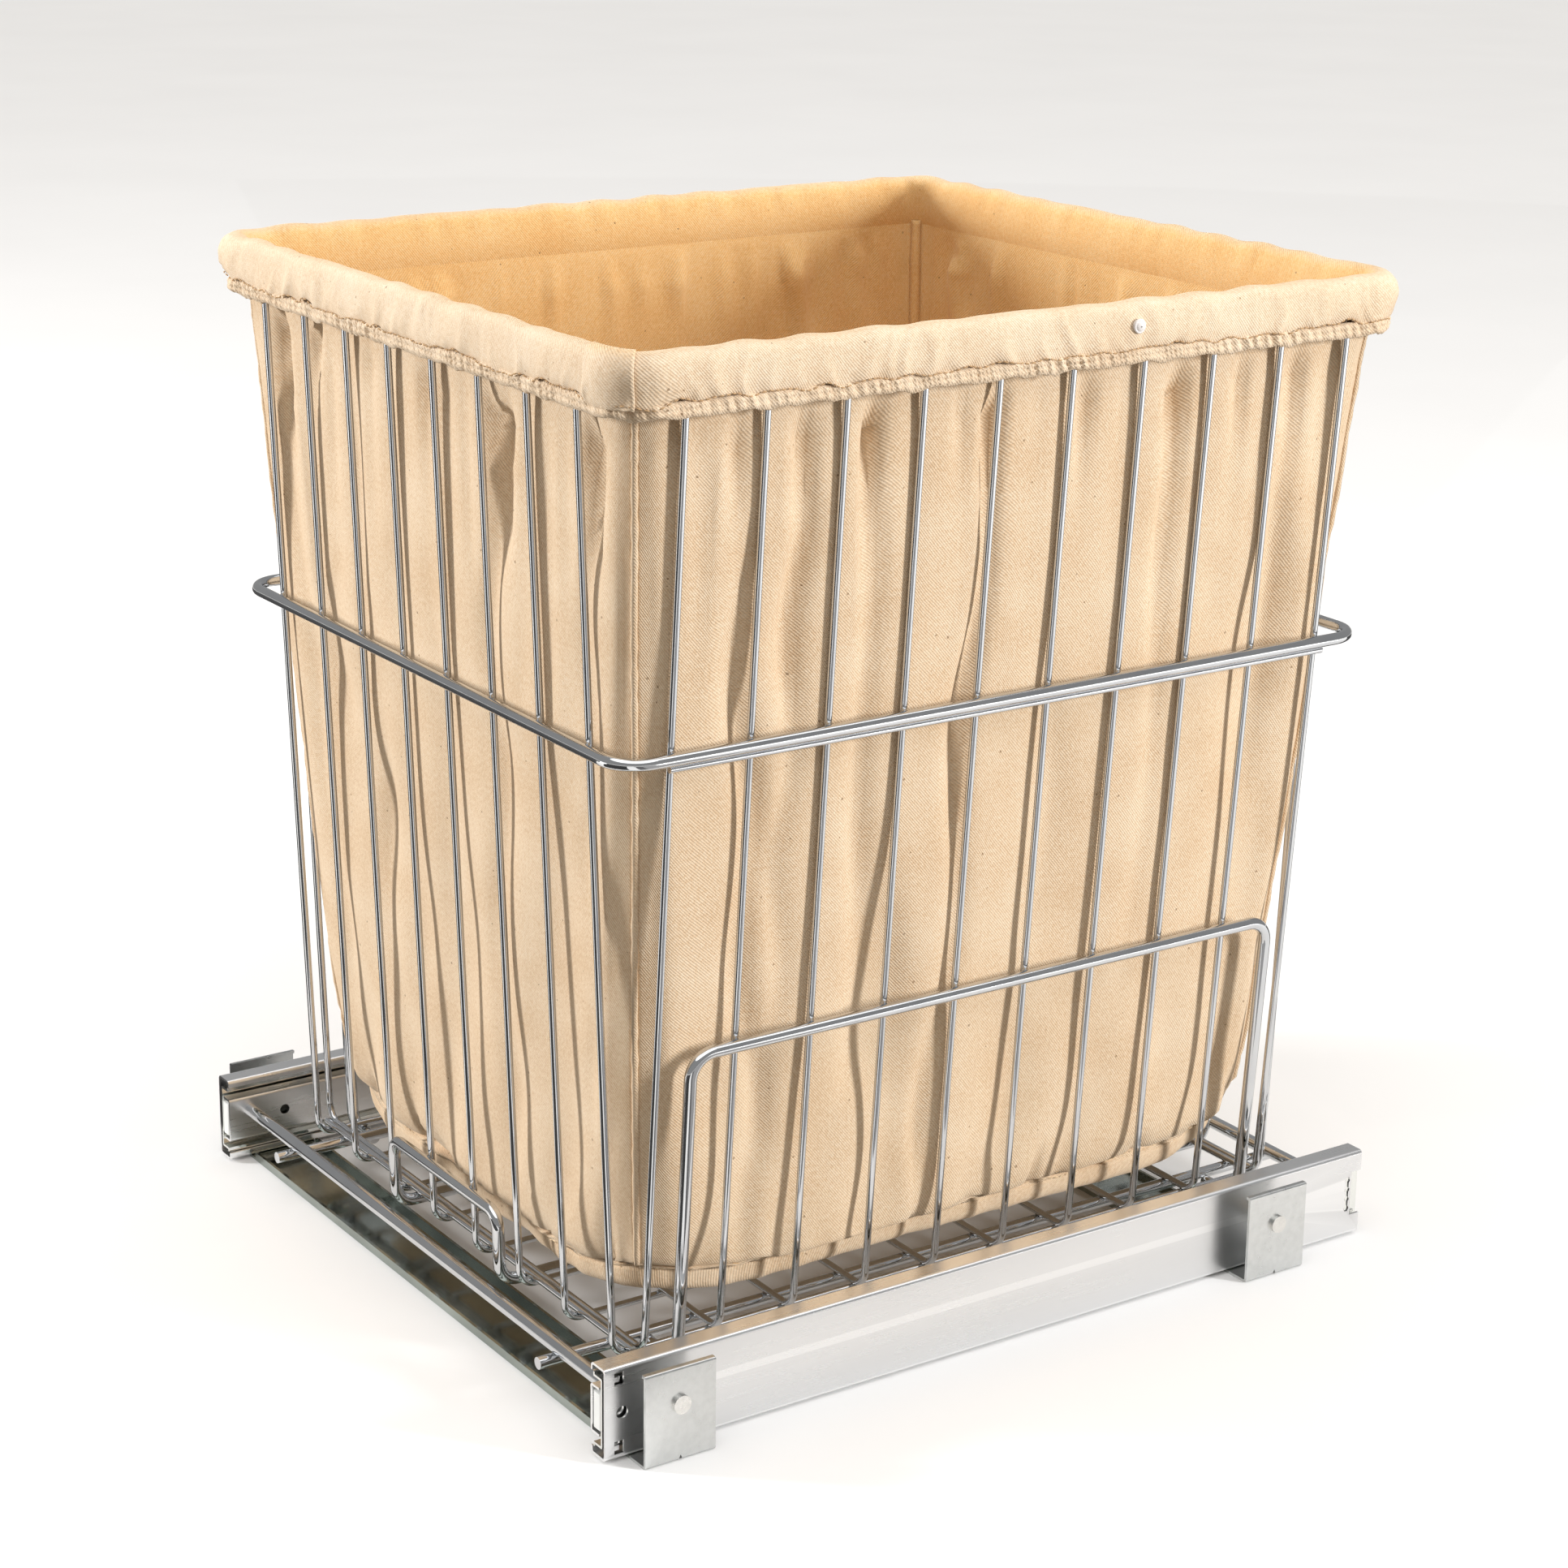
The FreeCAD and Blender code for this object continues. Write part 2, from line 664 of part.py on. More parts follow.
def channel_fixings():
    """Each plate is held off its slide by a spacer tube with a headed rivet through it."""
    rivets = []
    spacers = []
    web_inside = sheet.slide_outer_x - sheet.slide_sheet
    for y in (sheet.channel_front_y, sheet.channel_rear_y):
        for side, direction in ((1, ALONG_X), (-1, ALONG_MINUS_X)):
            shank = cylinder("Shank", sheet.rivet_shank, plate_outside_x - web_inside,
                             web_inside * side, y, sheet.rivet_z, direction)
            head = cylinder("Head", sheet.rivet_head, sheet.rivet_head_depth,
                            plate_outside_x * side, y, sheet.rivet_z, direction)
            rivet = doc.addObject("Part::Fuse", "Rivet")
            rivet.Base, rivet.Tool = head, shank
            rivets.append(rivet)
            tube = cylinder("Tube", sheet.spacer_size, sheet.plate_gap,
                            sheet.slide_outer_x * side, y, sheet.rivet_z, direction)
            hole = cylinder("Hole", sheet.rivet_hole, sheet.plate_gap,
                            sheet.slide_outer_x * side, y, sheet.rivet_z, direction)
            spacer = doc.addObject("Part::Cut", "Spacer")
            spacer.Base, spacer.Tool = tube, hole
            spacers.append(spacer)
    group("plate_rivets", rivets)
    group("rivet_spacers", spacers)


# ---------------------------------------------------------------- basket

wire_radius = sheet.wire_size / 2
rod_z = sheet.bar_z - sheet.bar_size / 2 - sheet.rod_size / 2 + sheet.weld
cross_wire_z = rod_z + sheet.rod_size / 2 + wire_radius - sheet.weld
long_wire_z = cross_wire_z - sheet.wire_size + sheet.weld
wire_top_z = sheet.rim_z - sheet.rim_size / 2 + sheet.weld


def bars_and_rods():
    """Two bars join the drawer members; two heavy rods hang under the bars and carry the wires."""
    reach = sheet.slide_outer_x - sheet.slide_depth
    for label, y in (("front_bar", -sheet.bar_y), ("rear_bar", sheet.bar_y)):
        finish_subpart(cylinder(label, sheet.bar_size, reach * 2, -reach, y, sheet.bar_z, ALONG_X), label)
    for label, x in (("floor_rod_left", -sheet.rod_x), ("floor_rod_right", sheet.rod_x)):
        rod = cylinder(label, sheet.rod_size, sheet.rod_reach * 2, x, -sheet.rod_reach, rod_z, ALONG_Y)
        finish_subpart(rod, label)


def u_wire(label, plane_role, offset, centre, floor_half, rim_half, floor_z):
    """A wire bent into a flat-bottomed U whose legs lean outwards up to the rim."""
    body = new_body(label)
    path = new_sketch(body, plane_role, offset)
    lean = (rim_half - floor_half) / (sheet.rim_z - floor_z)
    top_half = floor_half + lean * (wire_top_z - floor_z)
    corners = [(centre - top_half, wire_top_z), (centre - floor_half, floor_z),
               (centre + floor_half, floor_z), (centre + top_half, wire_top_z)]
    add_bent_path(path, corners, sheet.bend_radius)
    doc.recompute()
    return pipe_along(body, path, sheet.wire_size)


def add_bent_path(sketch, corners, radius):
    """An open path through the corners, with a tangent arc at each inner one."""
    places = [Vector(x.value, y.value, 0) for x, y in corners]
    first = sketch.GeometryCount
    start = places[0]
    bends = []
    for before, corner, after in zip(places, places[1:], places[2:]):
        entry, middle, leave = arc_points(before, corner, after, radius.value)
        bends.append((entry, middle, leave))
    for entry, middle, leave in bends:
        sketch.addGeometry(Part.LineSegment(start, entry))
        sketch.addGeometry(Part.Arc(entry, middle, leave))
        start = leave
    sketch.addGeometry(Part.LineSegment(start, places[-1]))
    last = first + 2 * len(bends)
    for bend in range(len(bends)):
        join_bend(sketch, first + 2 * bend, bends[bend][0], bends[bend][2])
        fix_radius(sketch, first + 2 * bend + 1, radius)
    pin_point(sketch, first, 1, *corners[0])
    pin_point(sketch, last, 2, *corners[-1])
    for number, corner in enumerate(corners[1:-1]):
        x, y = corner
        mark = sketch.addGeometry(Part.Point(Vector(x.value, y.value, 0)), True)
        pin_point(sketch, mark, 1, x, y)
        for line in (first + 2 * number, first + 2 * number + 2):
            sketch.addConstraint(Sketcher.Constraint("PointOnObject", mark, 1, line))


def join_bend(sketch, line, entry, leave):
    """Joins a line, the arc after it and the next line end to end, all tangent."""
    arc = line + 1
    starts_at_entry = sketch.Geometry[arc].StartPoint.distanceToPoint(entry) < SAME_PLACE
    entry_point, leave_point = (1, 2) if starts_at_entry else (2, 1)
    sketch.addConstraint(Sketcher.Constraint("Tangent", line, 2, arc, entry_point))
    sketch.addConstraint(Sketcher.Constraint("Tangent", arc, leave_point, line + 2, 1))


def arc_points(before, corner, after, radius):
    """Start, middle and end of the arc that rounds a corner."""
    back = (before - corner).normalize()
    ahead = (after - corner).normalize()
    half_angle = back.getAngle(ahead) / 2
    bisector = (back + ahead).normalize()
    reach = radius / math.tan(half_angle)
    middle = corner + bisector * (radius / math.sin(half_angle) - radius)
    return corner + back * reach, middle, corner + ahead * reach


def pipe_along(body, path, diameter):
    """Sweeps a round section along a path sketch, square to the path's start."""
    section = body.newObject("Sketcher::SketchObject", "Section")
    section.AttachmentSupport = [(path, "Edge1")]
    section.MapMode = "NormalToEdge"
    add_circle(section, 0, 0, diameter)
    doc.recompute()
    pipe = body.newObject("PartDesign::AdditivePipe", "Pipe")
    pipe.Profile = section
    pipe.Spine = (path, [])
    return body


def spread(reach, count):
    """Evenly spaced places from -reach to reach."""
    pitch = reach * 2 / (count - 1)
    return [pitch * step - reach for step in range(count)]


def basket_wires():
    """Long wires run front to back, cross wires run side to side over them."""
    for number, x in enumerate(spread(sheet.long_wire_reach, SIZES["long_wires"]), start=1):
        u_wire("long_wire_%d" % number, "YZ_Plane", x, sheet.basket_y,
               sheet.floor_half_y, sheet.rim_half_y, long_wire_z)
    for number, y in enumerate(spread(sheet.cross_wire_reach, SIZES["cross_wires"]), start=1):
        u_wire("cross_wire_%d" % number, "XZ_Plane", -(sheet.basket_y + y), Size.of(0),
               sheet.floor_half_x, sheet.rim_half_x, cross_wire_z)


def crook_wires():
    """A straight wire lies in the crook of the long wires' bends, front and back."""
    turn = math.radians(SIZES["crook_turn"])
    bend_slack = sheet.bend_radius - sheet.wire_size + sheet.weld
    bend_start = sheet.floor_half_y - sheet.bend_radius
    reach = bend_start + bend_slack * math.sin(turn)
    height = long_wire_z + sheet.bend_radius - bend_slack * math.cos(turn)
    half_length = sheet.crook_wire_reach
    for side, name in ((-1, "front"), (1, "rear")):
        label = "crook_wire_" + name
        y = sheet.basket_y + reach * side
        wire = cylinder(label, sheet.wire_size, half_length * 2, -half_length, y, height, ALONG_X)
        finish_subpart(wire, label)


def lean_at(floor_half, rim_half, floor_z, z):
    """Half-width of the basket's wall at a height, to the middle of its wires."""
    return floor_half + (rim_half - floor_half) * (z - floor_z) / (sheet.rim_z - floor_z)


def half_x_at(z):
    return lean_at(sheet.floor_half_x, sheet.rim_half_x, cross_wire_z, z)


def half_y_at(z):
    return lean_at(sheet.floor_half_y, sheet.rim_half_y, long_wire_z, z)


def hoop(label, half_x, half_y, corner, z, diameter):
    """A closed round-cornered ring of wire, level with the floor."""
    body = new_body(label)
    path = new_sketch(body, "XY_Plane", z)
    add_round_box(path, half_x, half_y, sheet.basket_y, corner)
    doc.recompute()
    return pipe_along(body, path, diameter)


def hoops():
    """The rim that the wires end under, and a ring around them at mid height."""
    hoop("rim_ring", sheet.rim_half_x, sheet.rim_half_y, sheet.rim_corner, sheet.rim_z, sheet.rim_size)
    outset = wire_radius + sheet.ring_size / 2 - sheet.weld
    hoop("mid_ring", half_x_at(sheet.ring_z) + outset, half_y_at(sheet.ring_z) + outset,
         sheet.ring_corner, sheet.ring_z, sheet.ring_size)


def ring_stays():
    """A straight wire lies under the mid ring along each long wall and ties its wires together."""
    radius = sheet.wire_size / 2
    outset = wire_radius + radius - sheet.weld
    drop = sheet.ring_size / 2 + radius - sheet.weld
    height = sheet.ring_z - drop
    reach = sheet.cross_wire_reach + sheet.stay_overhang
    x = half_x_at(height) + outset
    start_y = sheet.basket_y - reach
    for side, name in ((1, "right"), (-1, "left")):
        label = "ring_stay_" + name
        finish_subpart(cylinder(label, sheet.wire_size, reach * 2, x * side, start_y, height, ALONG_Y), label)


def bent_rod(label, corners, radii, diameter):
    """A round rod bent in space: straight runs joined by tangent arcs, swept as one solid."""
    places = [Vector(x.value, y.value, z.value) for x, y, z in corners]
    edges = []
    start = places[0]
    for before, corner, after, radius in zip(places, places[1:], places[2:], radii):
        entry, middle, leave = arc_points(before, corner, after, radius.value)
        edges.append(Part.LineSegment(start, entry).toShape())
        edges.append(Part.Arc(entry, middle, leave).toShape())
        start = leave
    edges.append(Part.LineSegment(start, places[-1]).toShape())
    path = Part.Wire(edges)
    section = Part.Wire([Part.Circle(places[0], places[1] - places[0], diameter.value / 2).toShape()])
    rod = doc.addObject("Part::Feature", label)
    rod.Shape = path.makePipeShell([section], True, False)
    rod.Placement = Placement()
    expected = math.pi * diameter.value ** 2 / 4 * path.Length
    if abs(rod.Shape.Volume - expected) > SWEEP_ERROR * expected:
        raise RuntimeError("the sweep of %s has the wrong volume" % label)
    return finish_subpart(rod, label)


def side_loops():
    """A heavy loop stands outside each long wall, with its feet welded to the floor rods."""
    radius = sheet.loop_size / 2
    outset = wire_radius + radius - sheet.weld
    foot_z = long_wire_z - wire_radius - radius + sheet.weld
    foot_end = sheet.rod_x + sheet.rod_size / 2 - sheet.weld * 2
    low_x = half_x_at(foot_z) + outset
    high_x = half_x_at(sheet.side_loop_top) + outset
    front = sheet.basket_y - sheet.side_loop_reach
    rear = sheet.basket_y + sheet.side_loop_reach
    radii = [sheet.side_loop_bend, sheet.side_loop_corner, sheet.side_loop_corner, sheet.side_loop_bend]
    for side, name in ((1, "right"), (-1, "left")):
        corners = [(foot_end * side, front, foot_z), (low_x * side, front, foot_z),
                   (high_x * side, front, sheet.side_loop_top), (high_x * side, rear, sheet.side_loop_top),
                   (low_x * side, rear, foot_z), (foot_end * side, rear, foot_z)]
        bent_rod("side_loop_" + name, corners, radii, sheet.loop_size)


def front_loop():
    """A low loop at the front, whose legs turn back under the floor to the rear."""
    radius = sheet.loop_size / 2
    outset = wire_radius + radius - sheet.weld
    foot_z = cross_wire_z - wire_radius - radius + sheet.weld
    low_y = sheet.basket_y - half_y_at(foot_z) - outset
    high_y = sheet.basket_y - half_y_at(sheet.front_loop_top) - outset
    foot_end = sheet.basket_y + sheet.cross_wire_reach + sheet.wire_size
    reach = sheet.front_loop_reach
    corners = [(-reach, foot_end, foot_z), (-reach, low_y, foot_z), (-reach, high_y, sheet.front_loop_top),
               (reach, high_y, sheet.front_loop_top), (reach, low_y, foot_z), (reach, foot_end, foot_z)]
    radii = [sheet.front_loop_bend, sheet.front_loop_corner, sheet.front_loop_corner, sheet.front_loop_bend]
    bent_rod("front_loop", corners, radii, sheet.loop_size)


# ---------------------------------------------------------------- canvas liner

casing_half_gap = sheet.casing_gap / 2
casing_outset = sheet.casing_centre + casing_half_gap + sheet.cloth
channel_outset = sheet.casing_centre + casing_half_gap
channel_inset = sheet.casing_centre - casing_half_gap
channel_roof_z = sheet.rim_z + sheet.rim_size / 2 + sheet.casing_roof


def add_rim_offset(sketch, outset):
    """The rim's outline, moved outwards by a distance."""
    add_round_box(sketch, sheet.rim_half_x + outset, sheet.rim_half_y + outset,
                  sheet.basket_y, sheet.rim_corner + outset)


def casing():
    """The liner's hem: a fold of canvas over the rim wire, carried all the way round it."""
    body = new_body("liner_casing")
    path = new_sketch(body, "XY_Plane", sheet.rim_z)
    add_rim_offset(path, Size.of(0))
    section = new_sketch(body, "YZ_Plane", sheet.rim_corner - sheet.rim_half_x)
    middle = sheet.basket_y - sheet.rim_half_y - sheet.casing_centre
    add_fold_outline(section, middle, channel_roof_z - casing_half_gap, sheet.casing_bottom)
    doc.recompute()
    pipe = body.newObject("PartDesign::AdditivePipe", "Pipe")
    pipe.Profile = section
    pipe.Spine = (path, [])
    return body


def add_fold_outline(sketch, middle, turn_z, low_z):
    """An upside-down U one cloth thick, open at the bottom."""
    inner = casing_half_gap
    outer = casing_half_gap + sheet.cloth
    sides = [(middle - outer, middle + outer), (middle + inner, middle - inner)]
    points = []
    for start, end in sides:
        points += [(start, low_z), (start, turn_z), (end, turn_z), (end, low_z)]
    arcs = {1: outer, 5: inner}
    for number, (x, y) in enumerate(points):
        next_x, next_y = points[(number + 1) % len(points)]
        if number in arcs:
            circle = Part.Circle(Vector(middle.value, turn_z.value, 0), Vector(0, 0, 1), arcs[number].value)
            sketch.addGeometry(Part.ArcOfCircle(circle, 0, math.pi))
        else:
            start, end = Vector(x.value, y.value, 0), Vector(next_x.value, next_y.value, 0)
            sketch.addGeometry(Part.LineSegment(start, end))
    # Every piece starts where the one before it ends, but the outer arc runs the other way.
    joints = [(0, 2, 1, 2), (1, 1, 2, 1)]
    joints += [(number, 2, (number + 1) % len(points), 1) for number in range(2, len(points))]
    for first, first_end, second, second_end in joints:
        sketch.addConstraint(Sketcher.Constraint("Coincident", first, first_end, second, second_end))
    pinned = [(0, 1), (0, 2), (2, 1), (2, 2), (4, 1), (4, 2), (6, 1), (6, 2)]
    for (line, end), (x, y) in zip(pinned, points):
        pin_point(sketch, line, end, x, y)
    for arc in arcs:
        rule = sketch.addConstraint(Sketcher.Constraint("DistanceY", -1, 1, arc, 3, turn_z.value))
        sketch.setExpression("Constraints[%d]" % rule, turn_z.formula)


def elastic():
    """The gathered elastic edge below the casing's outer fold."""
    body = new_body("liner_elastic")
    sketch = new_sketch(body, "XY_Plane", sheet.elastic_bottom)
    add_rim_offset(sketch, channel_outset + sheet.elastic_thickness)
    add_rim_offset(sketch, channel_outset)
    pad(body, sketch, sheet.casing_bottom - sheet.elastic_bottom)
    return body


def bag():
    """The bag itself: an open, tapered canvas box whose lower edges are turned in."""
    body = new_body("liner_bag")
    top_x = sheet.rim_half_x + channel_inset
    top_y = sheet.rim_half_y + channel_inset
    top_corner = sheet.rim_corner + channel_inset
    outer = [(sheet.bag_floor, sheet.bag_floor_half_x, sheet.bag_floor_half_y, sheet.bag_corner),
             (sheet.bag_shoulder, sheet.bag_shoulder_half_x, sheet.bag_shoulder_half_y, sheet.bag_corner),
             (sheet.casing_bottom, top_x, top_y, top_corner)]
    inner = [(z, half_x - sheet.cloth, half_y - sheet.cloth, corner - sheet.cloth)
             for z, half_x, half_y, corner in outer]
    inner[0] = (inner[0][0] + sheet.cloth,) + inner[0][1:]
    loft(body, "PartDesign::AdditiveLoft", outer)
    loft(body, "PartDesign::SubtractiveLoft", inner)
    return body


def loft(body, kind, levels):
    """A straight-sided loft through rounded rectangles at rising heights."""
    sketches = []
    for z, half_x, half_y, corner in levels:
        sketch = new_sketch(body, "XY_Plane", z)
        add_round_box(sketch, half_x, half_y, sheet.basket_y, corner)
        sketches.append(sketch)
    doc.recompute()
    feature = body.newObject(kind, "Loft")
    feature.Profile = sketches[0]
    feature.Sections = sketches[1:]
    feature.Ruled = True
    doc.recompute()
    return feature


def snap():
    """A domed press stud on the right-hand side of the casing."""
    stud = cylinder("liner_snap", sheet.snap_size, sheet.snap_depth, sheet.rim_half_x + casing_outset,
                    sheet.snap_y, sheet.snap_z, ALONG_X)
    return finish_subpart(stud, "liner_snap")


# ---------------------------------------------------------------- build, check and write

def build():
    both_slides()
    cross_channel("cross_channel_front", sheet.channel_front_y)
    cross_channel("cross_channel_rear", sheet.channel_rear_y)
    channel_fixings()
    bars_and_rods()
    basket_wires()
    crook_wires()
    hoops()
    ring_stays()
    side_loops()
    front_loop()
    bag()
    casing()
    elastic()
    snap()
    doc.recompute()


def check():
    """Stops unless every object recomputed and every sub-part is a sound shape."""
    for thing in doc.Objects:
        if "Invalid" in thing.State or "Error" in thing.State:
            owners = ", ".join(owner.Label for owner in thing.InList)
            raise RuntimeError("%s (%s) failed: %s" % (thing.Label, owners, thing.State))
    for thing in subparts:
        if thing.Shape.isNull() or not thing.Shape.isValid() or not thing.Shape.Solids:
            raise RuntimeError("%s has no valid shape" % thing.Label)


def write():
    os.makedirs("parts", exist_ok=True)
    for thing in subparts:
        thing.Shape.exportStep("parts/%s.step" % thing.Label)
        box = thing.Shape.optimalBoundingBox(False)
        print("%-24s solids %2d  x %.1f..%.1f  y %.1f..%.1f  z %.1f..%.1f" % (
            thing.Label, len(thing.Shape.Solids), box.XMin, box.XMax, box.YMin, box.YMax, box.ZMin, box.ZMax))


build()
check()
write()
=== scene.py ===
"""Looks for a pull-out wire hamper: a chrome basket on ball-bearing slides, with a sewn canvas liner."""

import math

import bpy
import numpy as np
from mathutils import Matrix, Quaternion, Vector


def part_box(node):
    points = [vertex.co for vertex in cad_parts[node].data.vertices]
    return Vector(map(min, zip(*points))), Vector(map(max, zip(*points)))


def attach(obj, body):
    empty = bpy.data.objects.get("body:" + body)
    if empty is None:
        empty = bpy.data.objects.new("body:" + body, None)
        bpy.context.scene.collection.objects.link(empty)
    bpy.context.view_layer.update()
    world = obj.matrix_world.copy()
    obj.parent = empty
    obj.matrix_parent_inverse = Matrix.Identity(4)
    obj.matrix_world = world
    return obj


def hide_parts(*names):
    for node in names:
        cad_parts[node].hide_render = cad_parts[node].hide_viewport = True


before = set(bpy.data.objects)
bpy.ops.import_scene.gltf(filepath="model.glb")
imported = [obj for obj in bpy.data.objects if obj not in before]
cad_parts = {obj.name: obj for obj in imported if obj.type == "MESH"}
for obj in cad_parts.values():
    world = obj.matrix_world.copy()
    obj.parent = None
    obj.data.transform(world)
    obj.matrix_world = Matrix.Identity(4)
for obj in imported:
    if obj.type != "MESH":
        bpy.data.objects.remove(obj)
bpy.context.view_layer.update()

# Sizes are in metres, in the frame of the CAD parts, unless a name says otherwise.
RIM_WIRE_RADIUS = 0.003
RIM_CORNER = 0.020
CLOTH_THICKNESS = 0.0011

# The liner's wall hangs from the rim down to its bottom seam.
BAG_CORNER_TOP = 0.0151
BAG_CORNER_LOW = 0.022
BAG_SEAM_HALF = (0.150, 0.187)
BAG_SEAM_Z = 0.050
HEM_REACH_INSIDE = 0.025
WALL_COLUMNS = 400
WALL_ROWS_NEAR_SEAM = (8, 0.0022)  # how many rows, and how far apart
WALL_ROWS_NEAR_TOP = (12, 0.0026)
WALL_ROWS_BETWEEN = 86
WALL_ROWS_IN_HEM = (0.006, 0.012)  # above the wall's top
CORNER_NAMES = ("front_right", "rear_right", "rear_left", "front_left")
LINER_SEED = 11

# How the wall folds.
FOLD_SPACING = 0.038
FOLD_WIDTHS = (0.006, 0.013)
FOLD_DEPTHS = (0.0045, 0.0125)
FOLD_REACHES = (0.5, 1.9)  # how far down it fades out, as a share of the wall's height
FOLD_WANDERS = (0.003, 0.008)
FOLD_DRIFTS = (-0.025, 0.025)
BILLOW_COUNT = 110
BILLOW_WIDTHS = (0.014, 0.028)
BILLOW_HEIGHTS = (0.035, 0.085)
BILLOW_DEPTHS = (-0.0062, 0.0040)
BILLOW_LEANS = (-0.25, 0.25)
CORNER_REACH = 0.032
CORNER_WEIGHTS = (0.45, 0.65, 0.8, 0.8)  # how far each bottom corner is drawn up, in CORNER_NAMES order
CORNER_DRAWN_IN = 0.009
CORNER_DRAWN_UP = 0.018
CORNER_FADE = 0.045
FOLDS_FADE_IN = 0.013  # below the hem
GAP_AT_SEAM = 0.0108  # how far the wall may stand out from its plain line, to stay inside the wires
GAP_AT_TOP = 0.0014

# How the wall settles.
CLOTH_SLACK = 0.02
SETTLE_FRAMES = 20
MOST_SETTLING = 0.012
LEAST_RISE = 0.0006  # from each row of the wall to the next, so that slack cloth does not fold over

# The base and its rolled edge.
BASE_STEPS = 91
BASE_FLAT_FROM = 0.05  # how far in from the seam the base levels out
BASE_SWELL = 0.0012
ROLL_WIDTH = 0.012
ROLL_DEPTH = 0.0135
ROLL_BULGE = 0.002

# The hem and the ruffled edge under it, as (outward, up) from the rim's centreline.
HEM_SECTION_MM = (
    (3.9, -17.4), (4.9, -16.2), (5.6, -13.5), (5.9, -10.0), (5.8, -6.0), (5.5, -2.2), (4.8, 1.2),
    (3.2, 3.7), (1.0, 4.9), (-1.4, 5.0), (-3.7, 3.7), (-5.5, 1.2), (-6.5, -2.5), (-7.2, -7.0),
    (-7.4, -12.0), (-7.1, -16.5), (-6.4, -20.5), (-5.6, -23.5),
)
HEM_OUTER_POINTS = 9  # of the hem's section, from its stitch line up over the wire
HEM_STEPS = 3  # points on each span of the section
ELASTIC_STEPS = 2
ELASTIC_SECTION_MM = (
    (2.0, -23.4), (3.5, -24.3), (4.9, -23.4), (5.6, -21.8), (5.1, -20.4), (5.5, -19.0), (5.0, -17.6),
    (3.8, -16.6), (2.4, -17.0), (1.8, -19.0), (1.7, -21.5),
)
HEM_SPACING = 0.0020
LAP_SPACING = 0.001
ELASTIC_SPACING = 0.0007
SLACK_OVER_WIRE = 0.0004
LAP_LENGTH = 0.022
STITCH_PITCH = 0.0034
STITCH_RADIUS = 0.00038
STITCH_TAPER = (0.35, 0.9, 1.0, 0.9, 0.35)
STITCH_SIDES = 6
BASE_THREAD_RISE = 0.0001
BASE_THREAD_SHARE = 0.8  # of the hem stitches' radius
STITCH_REACH = 0.36  # of the pitch, each way from the stitch's middle
LAP_PAST_CORNER = 0.002
LAP_LIFT = 0.0017
HEM_STITCH_LINE = (0.0056, -0.0168)
RIDGE_SIZES = ((0.0014, 0.0048), (0.0006, 0.0019), (0.12, 0.44))  # width, height, share of the section
RIDGE_SPACING = (0.004, 0.016)

# Seams and the press stud.
SEAM_SIZE = (0.0016, 0.0014, 0.0003)  # half its width, half its depth, and its rise off the wall
TURNING_RISE = (0.0003, 0.0014, 0.0003)  # of a turned-in edge's two sides and middle off the wall
TURNING_HALF = 0.004
SNAP_OUT = 0.0012
SNAP_PROFILE_MM = (
    (-1.2, 2.9), (0.0, 3.4), (0.45, 3.5), (0.85, 3.2), (0.95, 2.7), (0.85, 2.45), (1.15, 2.2),
    (1.55, 1.6), (1.75, 0.9), (1.82, 0.25),
)

# Cloth colours: each canvas is (light, middle, dark), and each thread (light, dark).
WEAVE = "weave"  # a point attribute: metres round the cloth, and metres up it
TONES = (0.40, 0.5, 0.60)  # where the cloth is dark, middling and light, out of the tone's 0 to 1
CANVAS_COLOURS = ((0.89, 0.71, 0.515), (0.83, 0.63, 0.43), (0.74, 0.525, 0.33))
# The inside's colours are warmer and deeper than the outside's: painted bounce light, the glow that light
# reflected between the cloth walls gives the inside.
INSIDE_PAINTED_BOUNCE_COLOURS = ((0.95, 0.665, 0.345), (0.92, 0.595, 0.265), (0.85, 0.505, 0.20))
HEM_COLOURS = ((0.92, 0.755, 0.575), (0.87, 0.685, 0.49), (0.78, 0.58, 0.39))
ELASTIC_COLOURS = ((0.92, 0.755, 0.58), (0.87, 0.685, 0.49), (0.72, 0.53, 0.36))
# The hem thread's brown is partly the thread's own colour and partly painted shade of the stitch line's fold.
HEM_THREAD_AND_SHADE_COLOURS = ((0.60, 0.40, 0.22), (0.42, 0.26, 0.13))
PALE_THREAD_COLOURS = ((0.80, 0.64, 0.43), (0.70, 0.53, 0.33))
PEARL_COLOURS = ((0.88, 0.84, 0.80), (0.78, 0.74, 0.72))
FLECK_COLOUR = (0.20, 0.11, 0.05)
FLECK_STRENGTH = 0.62
HEM_PUCKER = 160.0  # crimps to the metre
ELASTIC_PUCKER = 420.0
# Past this turn the hem takes the inside's painted bounce colours.
HEM_TURN = (0.022, 0.033)  # how far along its section the hem turns from the outside to the inside
TWILL_PERIOD = 0.0014
YARN_PERIOD = 0.0007
METAL_BUMP = 0.00004
PLATE_START = 0.200  # how far from the middle the channels' turned-up plates begin
PLATE_BLEND = 0.004

# The stage. Azimuths and elevations are in degrees, and azimuth 0 is the front.
VIEW_AZIMUTH = 56.0
VIEW_ELEVATION = 16.2
VIEW_ROLL = 0.75
VIEW_DISTANCE = 1.7658
VIEW_TARGET = (-0.0058, 0.0041, 0.2760)
SENSOR_MM = 36.0
LENS = 79.0
LENS_SHIFT = (0.0, -0.058)
LAMP_TARGET = (0.0, 0.0, 0.25)
LAMP_DISTANCE = 3.4
LAMP_SIZE = (0.46, 1.1)
LAMPS = (("front_lamp", -38.0, 14.0, 120.0), ("side_lamp", 126.0, 13.0, 112.0))  # azimuth, elevation, watts
SUN_STRENGTH = 1.9
SUN_SPREAD = 80.0
SUN_TILT = (4.0, 9.0, 0.0)
ROOM_STRENGTH = 0.33
